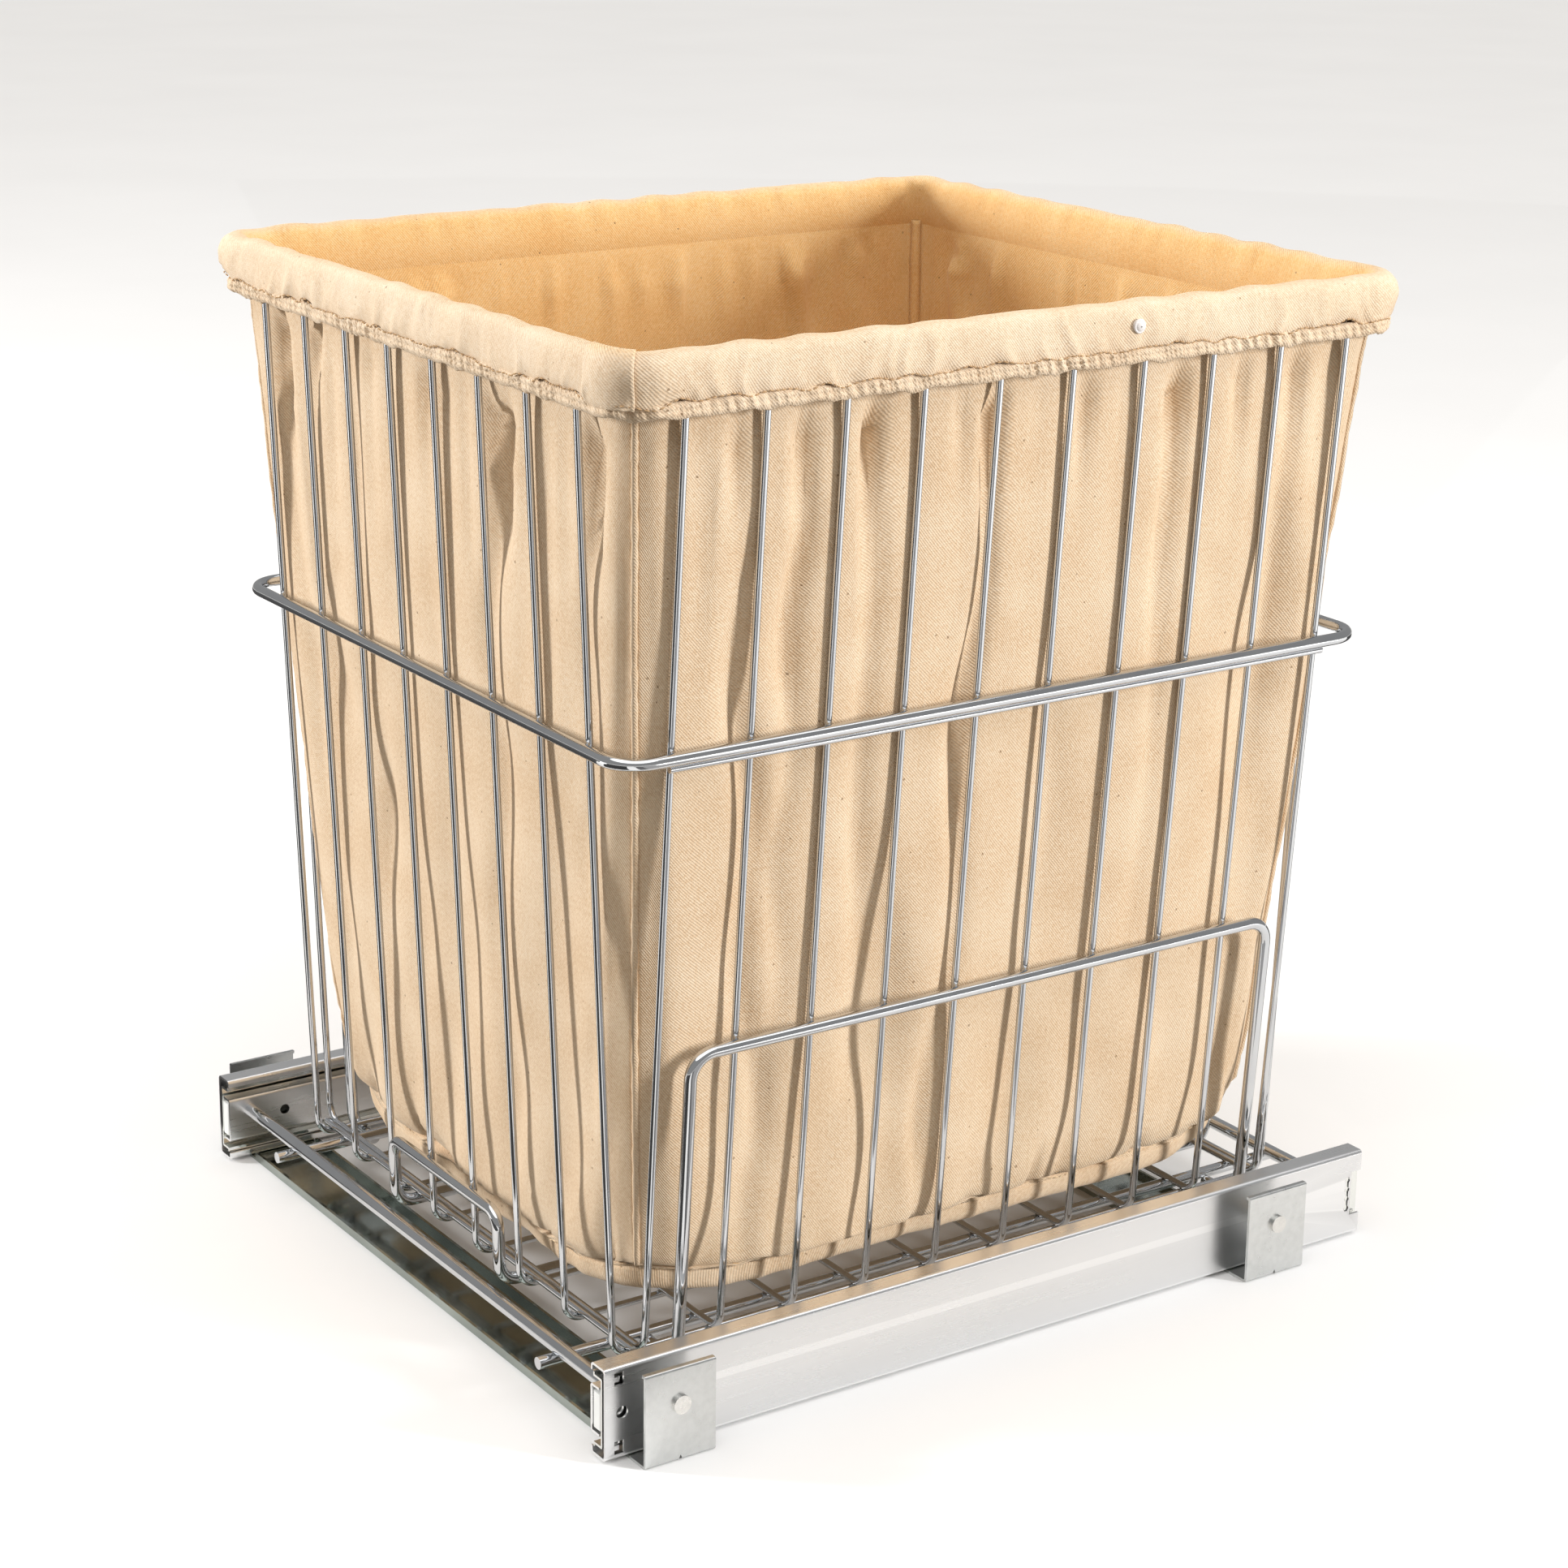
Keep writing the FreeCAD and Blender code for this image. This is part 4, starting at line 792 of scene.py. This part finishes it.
def inside_wires(grid, base, normals):
    """Holds the cloth just inside the upright wires."""
    centre = np.array([0.0, RIM_CENTRE.y])
    out = ((grid[..., :2] - centre - base) * normals).sum(axis=2)
    share = np.clip((grid[..., 2] - BAG_SEAM_Z) / (BAG_TOP_Z - BAG_SEAM_Z), 0.0, 1.0)
    most = GAP_AT_SEAM + (GAP_AT_TOP - GAP_AT_SEAM) * share
    soft = most * np.tanh(out / most)
    kept = np.where(out > 0, soft, out)
    change = (kept - out)[..., None] * normals
    result = grid.copy()
    result[..., :2] += change
    return result


def bag_base(material, wall_grid):
    """The liner's base, with the rolled edge that the bottom seam makes."""
    steps = np.sin(np.linspace(-math.pi / 2, math.pi / 2, BASE_STEPS))
    u, v = np.meshgrid(steps, steps)
    ring = np.maximum(np.abs(u), np.abs(v))
    centre = np.array([0.0, RIM_CENTRE.y])
    seam = wall_grid[0, :-1]
    square = square_turn((seam[:, :2] - centre) / np.array(BAG_SEAM_HALF))
    order = np.argsort(square)
    wanted = square_turn(np.stack([u, v], axis=2).reshape(-1, 2)).reshape(u.shape)
    edge = np.stack([np.interp(wanted, square[order], seam[order, k], period=8.0) for k in range(3)], axis=2)
    reach = edge[..., :2] - centre
    distance = np.linalg.norm(reach, axis=2)
    inward = (1.0 - ring) * distance * 0.85
    share = np.clip(inward / ROLL_WIDTH, 0.0, 1.0)
    drop = ROLL_DEPTH * np.sqrt(1.0 - (1.0 - share) ** 2)
    bulge = ROLL_BULGE * np.sin(math.pi * np.clip(inward / (ROLL_WIDTH * 0.7), 0.0, 1.0))
    flat = np.clip(inward / BASE_FLAT_FROM, 0.0, 1.0)
    z = edge[..., 2] * (1 - flat) + BAG_SEAM_Z * flat - drop
    z += BASE_SWELL * np.sin(u * 5.1 + v * 2.0) * np.sin(v * 4.3 - 1.0) * flat
    direction = reach / np.maximum(distance, 1e-6)[..., None]
    plan = centre + reach * ring[..., None] + direction * bulge[..., None]
    points = np.dstack([plan, z]).reshape(-1, 3)
    weave = np.dstack([plan + direction * drop[..., None], np.zeros_like(z)]).reshape(-1, 3)
    faces = [tuple(reversed(face)) for face in grid_faces(BASE_STEPS, BASE_STEPS, closed_columns=False)]
    piece = make_object("liner_base", points, faces, material, weave)
    thicken(piece, CLOTH_THICKNESS)
    return piece


def square_turn(points):
    """How far round a square from -1 to 1 each point's direction is, from 0 to 8."""
    x, y = points[:, 0], points[:, 1]
    size = np.maximum(np.maximum(np.abs(x), np.abs(y)), 1e-9)
    x, y = x / size, y / size
    front = np.where(y <= -1 + 1e-9, x, 0.0)
    right = np.where((x >= 1 - 1e-9) & (y > -1 + 1e-9), 2 + y, 0.0)
    rear = np.where((y >= 1 - 1e-9) & (x < 1 - 1e-9), 4 - x, 0.0)
    left = np.where((x <= -1 + 1e-9) & (y < 1 - 1e-9) & (y > -1 + 1e-9), 6 - y, 0.0)
    return (front + right + rear + left) % 8.0


# ---- hem and seams


def in_metres(section):
    """A section given in millimetres, as metres."""
    return np.array(section) / 1000.0


def finer(section, steps, closed=False):
    """A section with steps points on each of its smooth spans (Catmull-Rom)."""
    points = np.asarray(section, float)
    count = len(points)
    if closed:
        index = np.arange(-1, count + 2) % count
        spans = count
    else:
        index = np.clip(np.arange(-1, count + 1), 0, count - 1)
        spans = count - 1
    guide = points[index]
    result = []
    for k in range(spans):
        a, b, c, d = guide[k : k + 4]
        square, cube = 2 * a - 5 * b + 4 * c - d, 3 * b - 3 * c + d - a
        for t in np.arange(steps) / steps:
            result.append(0.5 * (2 * b + (c - a) * t + square * t * t + cube * t**3))
    if not closed:
        result.append(points[-1])
    return np.array(result)


def hem_shift(rng):
    """The hem's wrinkles: ridges that rise from its stitch line, and a gentle wander of its top."""
    ridges = []
    place = 0.0
    while place < RIM.length:
        width, height, reach = [rng.uniform(*limits) for limits in RIDGE_SIZES]
        ridges.append((place, width, height, reach))
        place += rng.uniform(*RIDGE_SPACING)
    slow = waves(rng, 4, 0.05, 0.12, RIM.length)
    tuck = waves(rng, 4, 0.011, 0.028, RIM.length)
    roll = waves(rng, 3, 0.03, 0.08, RIM.length)

    def shift(around, share):
        low = np.exp(-((share / 0.16) ** 2))
        inner = np.sin(math.pi * np.clip((share - 0.45) / 0.35, 0.0, 1.0))
        wander, tucks, curl = [ripple(around, RIM.length, terms) for terms in (slow, tuck, roll)]
        out = 0.0007 * wander * np.sin(math.pi * np.clip(share / 0.45, 0, 1))
        out += 0.0007 * low * tucks
        out += 0.0006 * inner * tucks
        for place, width, height, reach in ridges:
            away = wrapped(around - place - 0.004 * np.sin(share * 9 + place * 900), RIM.length)
            out += height * np.exp(-((away / width) ** 2)) * np.exp(-((share / reach) ** 2))
        up = 0.0010 * low * (tucks + wander) + 0.0005 * curl * np.sin(math.pi * share)
        flare = sum(np.exp(-((wrapped(around - c, RIM.length) / 0.013) ** 2)) for c in RIM.corner_middles())
        out += 0.0036 * flare * np.exp(-(((share - 0.27) / 0.14) ** 2))
        return np.maximum(out, -SLACK_OVER_WIRE), up

    return shift


def elastic_shift(rng):
    """The elastic's gathers: even, tight ruffles that the band pulls up."""
    gathers = waves(rng, 7, 0.0022, 0.0070, RIM.length)
    slow = waves(rng, 4, 0.014, 0.05, RIM.length)

    def shift(around, share):
        lean = around + 0.0045 * share
        ruffle = ripple(lean, RIM.length, gathers)
        drift = ripple(around, RIM.length, slow)
        outer = np.sin(math.pi * np.clip(share / 0.75, 0.0, 1.0))
        lower = np.exp(-((share / 0.22) ** 2))
        return outer * (0.0007 * ruffle + 0.0006 * drift), lower * (0.0004 * ruffle + 0.0008 * drift)

    return shift


def stitches(name, path, material, radius=STITCH_RADIUS):
    """A row of thread stitches along a path of points: short rounded bars that taper at their ends."""
    along = lengths_along(path)
    stations = np.linspace(-0.5, 0.5, len(STITCH_TAPER))
    angles = np.arange(STITCH_SIDES) / STITCH_SIDES * 2 * math.pi
    last_ring = (len(STITCH_TAPER) - 1) * STITCH_SIDES
    points, faces = [], []
    for i in range(int(along[-1] / STITCH_PITCH)):
        middle = (i + 0.5) * STITCH_PITCH
        reach = STITCH_PITCH * STITCH_REACH
        tail, head = [
            np.array([np.interp(place, along, path[:, a]) for a in range(3)])
            for place in (middle - reach, middle + reach)
        ]
        length = np.linalg.norm(head - tail)
        axis = (head - tail) / length
        side = np.cross(axis, [0.0, 0.0, 1.0])
        side = side / max(np.linalg.norm(side), 1e-9)
        rise = np.cross(side, axis)
        centre = (tail + head) / 2
        start = len(points)
        for station, size in zip(stations, STITCH_TAPER):
            for angle in angles:
                across = side * math.cos(angle) + rise * math.sin(angle)
                points.append(centre + axis * station * length + across * radius * size)
        faces += grid_faces(len(STITCH_TAPER), STITCH_SIDES, start=start)
        faces.append(tuple(start + k for k in reversed(range(STITCH_SIDES))))
        faces.append(tuple(start + last_ring + k for k in range(STITCH_SIDES)))
    return make_object(name, points, faces, material)


def rim_line(outward, up, shift, count=900):
    """A closed line round the rim ring, this far outward and up from its centreline before it shifts."""
    base, normals, along = rim_places(0.0, RIM.length, count, True)
    more_out, more_up = shift(along, np.zeros(count))
    line = off_rim(base, normals, outward + more_out, up + more_up)
    return np.vstack([line, line[:1]])


def rib(name, path, outward, width, depth, rise, material):
    """A long rib of folded cloth along a seam, this far half across, half deep and off the seam's line."""
    path = np.asarray(path, float)
    outward = np.column_stack([outward, np.zeros(len(outward))])
    tangent = np.gradient(path, axis=0)
    tangent /= np.linalg.norm(tangent, axis=1, keepdims=True)
    across = np.cross(tangent, outward)
    across /= np.linalg.norm(across, axis=1, keepdims=True)
    angles = np.arange(12) / 12 * 2 * math.pi
    along = lengths_along(path)
    size = (1.0 + 0.10 * np.sin(along * 900.0) + 0.08 * np.sin(along * 370.0 + 1.0))[:, None]
    rings = [
        path + outward * (rise + math.cos(a) * depth * size) + across * (math.sin(a) * width * size)
        for a in angles
    ]
    points = np.stack(rings, axis=1).reshape(-1, 3)
    count = len(angles)
    faces = grid_faces(len(path), count)
    faces.append(tuple(reversed(range(count))))
    faces.append(tuple(len(path) * count - count + k for k in range(count)))
    around = np.tile(angles * width, len(path))
    weave = np.stack([around, np.repeat(along, count), np.zeros(len(points))], axis=1)
    return make_object(name, points, faces, material, weave)


def turning(name, grid, normals, column, material):
    """A seam's turned-in edge: a narrow strip that lies against the inside of the wall."""
    columns = (np.array([-1, 0, 1]) + column) % WALL_COLUMNS
    rows = slice(1, len(grid) - 2)
    inwards = CLOTH_THICKNESS + np.array(TURNING_RISE)
    strip = grid[rows][:, columns].copy()
    strip[..., :2] -= normals[rows][:, columns] * inwards[None, :, None]
    along = strip[..., 2]
    across = np.tile(np.arange(3) * TURNING_HALF, (len(strip), 1))
    weave = np.stack([across, along, np.zeros_like(along)], axis=2)
    faces = grid_faces(len(strip), 3, closed_columns=False)
    piece = make_object(name, strip.reshape(-1, 3), faces, material, weave.reshape(-1, 3))
    thicken(piece, CLOTH_THICKNESS)
    return piece


def corner_seams(grid, normals, material, inside):
    """The seams that join the wall's panels at the corners: a ridge outside and a turned-in edge inside."""
    middle = Outline(*BAG_MIDDLE_HALF, BAG_CORNER_LOW)
    pieces = []
    for name, place in zip(CORNER_NAMES, middle.corner_middles()):
        column = round(place / middle.length * WALL_COLUMNS) % WALL_COLUMNS
        rows = slice(1, len(grid) - 2)
        path, outward = grid[rows, column], normals[rows, column]
        pieces.append(rib("liner_seam_" + name, path, outward, *SEAM_SIZE, material))
        pieces.append(turning("liner_turning_" + name, grid, normals, column, inside))
    return pieces


def lathe(name, profile, centre, material, segments=40):
    """A turned piece: a profile of (out along +X, radius) from its centre."""
    angles = np.arange(segments) / segments * 2 * math.pi
    points = [
        (centre[0] + out, centre[1] + radius * math.cos(a), centre[2] + radius * math.sin(a))
        for out, radius in profile
        for a in angles
    ]
    faces = grid_faces(len(profile), segments)
    faces.append(tuple(range(segments)))
    faces.append(tuple(reversed([len(points) - segments + k for k in range(segments)])))
    return make_object(name, points, [tuple(reversed(f)) for f in faces], material)


def sewn_rim(colours, rng):
    """The hem with its lap and its stitches, and the elastic ruffle under it."""
    shift = hem_shift(rng)
    hem = rim_surface(
        "liner_hem", finer(in_metres(HEM_SECTION_MM), HEM_STEPS), colours["hem"], HEM_SPACING,
        shift=shift, thickness=CLOTH_THICKNESS,
    )
    outer = finer(in_metres(HEM_SECTION_MM[:HEM_OUTER_POINTS]), HEM_STEPS)
    lap_start = LAP_PAST_CORNER - LAP_LENGTH
    lap = rim_surface(
        "liner_hem_lap", lap_section(outer), colours["hem"], LAP_SPACING, (lap_start, LAP_LENGTH),
        shift=lap_shift(shift, len(outer)), thickness=CLOTH_THICKNESS,
    )
    elastic = rim_surface(
        "liner_ruffle", finer(in_metres(ELASTIC_SECTION_MM), ELASTIC_STEPS, closed=True),
        colours["elastic"], ELASTIC_SPACING, closed_section=True, shift=elastic_shift(rng),
    )
    line = rim_line(*HEM_STITCH_LINE, shift)
    return hem, lap, elastic, stitches("liner_hem_stitches", line, colours["thread"])


def base_stitches(grid, normals, material):
    """The fine stitches that join the wall to the base, just off the cloth along the bottom seam."""
    seam = grid[1].copy()
    seam[:, :2] += normals[1] * BASE_THREAD_RISE
    return stitches("liner_base_stitches", seam, material, STITCH_RADIUS * BASE_THREAD_SHARE)


def build_liner(colours):
    """The canvas liner and everything sewn to it."""
    wall, grid, normals = bag_wall(colours["canvas"], colours["inside"])
    base = bag_base(colours["canvas"], grid)
    hem, lap, elastic, hem_thread = sewn_rim(colours, np.random.default_rng(LINER_SEED + 1))
    base_thread = base_stitches(grid, normals, colours["pale_thread"])
    welts = corner_seams(grid, normals, colours["canvas"], colours["inside"])
    low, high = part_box("liner_snap")
    centre = ((low.x + high.x) / 2 + SNAP_OUT, (low.y + high.y) / 2, (low.z + high.z) / 2)
    snap = lathe("liner_press_stud", in_metres(SNAP_PROFILE_MM), centre, colours["snap"])
    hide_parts("liner_bag")
    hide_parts("liner_casing")
    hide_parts("liner_elastic")
    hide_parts("liner_snap")
    sewn = [hem, lap, elastic, hem_thread, base_thread, *welts]
    for piece in (wall, base, *sewn, snap):
        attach(piece, "liner")


def lap_section(outer):
    """The hem's outer section, lifted off it for the strip that laps over its join."""
    step = np.gradient(outer, axis=0)
    normal = np.column_stack([step[:, 1], -step[:, 0]])
    normal /= np.linalg.norm(normal, axis=1, keepdims=True)
    return outer + normal * LAP_LIFT


def lap_shift(shift, rows):
    """The lap follows the wrinkles of the hem under it."""
    hem_rows = (len(HEM_SECTION_MM) - 1) * HEM_STEPS + 1

    def follow(around, share):
        return shift(around, share * (rows - 1) / (hem_rows - 1))

    return follow


# ---- metal and stage


def dress_metal():
    """Gives every CAD part that shows its plated, drawn or moulded finish."""
    chrome = metal("chrome_wire", (0.66, 0.67, 0.68), (0.56, 0.57, 0.59), 0.04, 0.09, detail=1.0, bump=0.05)
    # edge is the painted highlight colour given to the slides' sharp edges.
    zinc = metal(
        "zinc_slide", (0.50, 0.50, 0.505), (0.45, 0.455, 0.46), 0.24, 0.34,
        grain=(1.0, 0.03, 1.0), grain_scale=420.0, edge=(0.90, 0.90, 0.90),
    )
    bright = metal(
        "bright_slide", (0.56, 0.59, 0.55), (0.42, 0.45, 0.41), 0.10, 0.22,
        grain=(1.0, 0.03, 1.0), grain_scale=300.0, edge=(0.84, 0.85, 0.82),
    )
    channel = channel_metal("bright_channel")
    rivet = metal("rivet_steel", (0.80, 0.79, 0.76), (0.66, 0.65, 0.62), 0.24, 0.36, grain_scale=500.0)
    cage = metal("cage_steel", (0.52, 0.52, 0.50), (0.38, 0.38, 0.37), 0.28, 0.42, grain_scale=300.0)
    ball = metal("ball_steel", (0.80, 0.80, 0.81), (0.66, 0.66, 0.68), 0.05, 0.10, grain_scale=900.0)
    nylon = plastic("nylon", (0.86, 0.87, 0.85), (0.80, 0.81, 0.79), 0.5, 700.0)
    finishes = (
        (("cabinet_member", "drawer_member"), zinc),
        (("middle_member",), bright),
        (("cross_channel",), channel),
        (("plate_rivets", "rivet_spacers"), rivet),
        (("outer_ball_cage", "inner_ball_cage"), cage),
        (("outer_balls", "inner_balls"), ball),
        (("end_stop",), nylon),
    )
    for name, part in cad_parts.items():
        if name.startswith("liner"):
            continue
        chosen = chrome
        for starts, material in finishes:
            if name.startswith(starts):
                chosen = material
        part.data.materials.clear()
        part.data.materials.append(chosen)


def card(name, azimuth, spread, near, far, brightness):
    """A sector of card on the floor round the object, seen only in reflections, as a studio flag is."""
    angles = np.radians(np.linspace(azimuth - spread / 2, azimuth + spread / 2, 7))
    points = [(r * math.sin(a), -r * math.cos(a), CARD_LIFT) for r in (near, far) for a in angles]
    material, shader = new_material(name)
    shader.inputs["Base Color"].default_value = (brightness, brightness, brightness * 1.02, 1.0)
    shader.inputs["Roughness"].default_value = 0.9
    piece = make_object(name, points, grid_faces(2, 7, closed_columns=False), material, smooth=False)
    piece.visible_camera = False
    piece.visible_diffuse = False
    piece.visible_shadow = False


def area_light(name, azimuth, elevation, power):
    """A soft lamp that faces the object, and that bare metal doesn't mirror."""
    data = bpy.data.lights.new(name, "AREA")
    data.shape = "RECTANGLE"
    data.size, data.size_y = LAMP_SIZE
    data.energy = power
    lamp = bpy.data.objects.new(name, data)
    back = towards(azimuth, elevation)
    lamp.location = Vector(LAMP_TARGET) + back * LAMP_DISTANCE
    lamp.rotation_mode = "QUATERNION"
    lamp.rotation_quaternion = (-back).to_track_quat("-Z", "Y")
    lamp.visible_glossy = False
    bpy.context.scene.collection.objects.link(lamp)


def towards(azimuth, elevation):
    """The direction from the object to a viewer at that azimuth and elevation."""
    a, e = math.radians(azimuth), math.radians(elevation)
    return Vector((math.sin(a) * math.cos(e), -math.cos(a) * math.cos(e), math.sin(e)))


def build_stage():
    """A pale floor, two soft lamps that rake across the basket's front and side, and a pale room."""
    half = FLOOR_HALF
    corners = [(-half, -half, 0.0), (half, -half, 0.0), (half, half, 0.0), (-half, half, 0.0)]
    floor = make_object("floor", corners, [(0, 1, 2, 3)], floor_paper("floor_paper"), smooth=False)
    floor.visible_diffuse = False
    for name, azimuth, elevation, power in LAMPS:
        area_light(name, azimuth, elevation, power)
    sky = bpy.data.lights.new("sky_lamp", "SUN")
    sky.energy = SUN_STRENGTH
    sky.angle = math.radians(SUN_SPREAD)
    lamp = bpy.data.objects.new("sky_lamp", sky)
    lamp.rotation_euler = [math.radians(turn) for turn in SUN_TILT]
    bpy.context.scene.collection.objects.link(lamp)
    for number, (azimuth, spread, brightness) in enumerate(FLAGS):
        card(f"flag_{number}", azimuth, spread, *CARD_REACH, brightness)
    light_room()


def light_room():
    """The pale room: white to the eye and to the metal, and warmer where it fills in shade."""
    world = bpy.data.worlds.new("room")
    world.use_nodes = True
    background = world.node_tree.nodes["Background"]
    background.inputs["Strength"].default_value = ROOM_STRENGTH
    rays = world.node_tree.nodes.new("ShaderNodeLightPath")
    tint = mix_colours(world, rays.outputs["Is Diffuse Ray"], ROOM_SEEN, ROOM_FILL)
    world.node_tree.links.new(tint, background.inputs["Color"])
    bpy.context.scene.world = world
    bpy.context.scene.view_settings.view_transform = "Standard"


def build_camera():
    """The camera, at the height and side that the object is usually shown from."""
    data = bpy.data.cameras.new("camera")
    data.sensor_width = SENSOR_MM
    data.lens = LENS
    data.shift_x, data.shift_y = LENS_SHIFT
    camera = bpy.data.objects.new("camera", data)
    back = towards(VIEW_AZIMUTH, VIEW_ELEVATION)
    camera.location = Vector(VIEW_TARGET) + back * VIEW_DISTANCE
    camera.rotation_mode = "QUATERNION"
    level = (-back).to_track_quat("-Z", "Y")
    camera.rotation_quaternion = level @ Quaternion((0.0, 0.0, 1.0), math.radians(VIEW_ROLL))
    bpy.context.scene.collection.objects.link(camera)
    bpy.context.scene.camera = camera


def main():
    """Builds the whole scene."""
    build_camera()
    dress_metal()
    colours = {
        "canvas": canvas("canvas", CANVAS_COLOURS),
        # The inside canvas is the same cloth, with painted bounce light in its colours.
        "inside": canvas("inside_canvas_painted_bounce", INSIDE_PAINTED_BOUNCE_COLOURS),
        "hem": canvas("hem_canvas", HEM_COLOURS, HEM_PUCKER, INSIDE_PAINTED_BOUNCE_COLOURS),
        "elastic": canvas("elastic_canvas", ELASTIC_COLOURS, ELASTIC_PUCKER),
        # The hem thread's colours hold painted shade of its stitch line.
        "thread": thread("thread", *HEM_THREAD_AND_SHADE_COLOURS),
        "pale_thread": thread("pale_thread", *PALE_THREAD_COLOURS),
        "snap": plastic("pearl", *PEARL_COLOURS, 0.2, 500.0),
    }
    build_liner(colours)
    build_stage()


main()
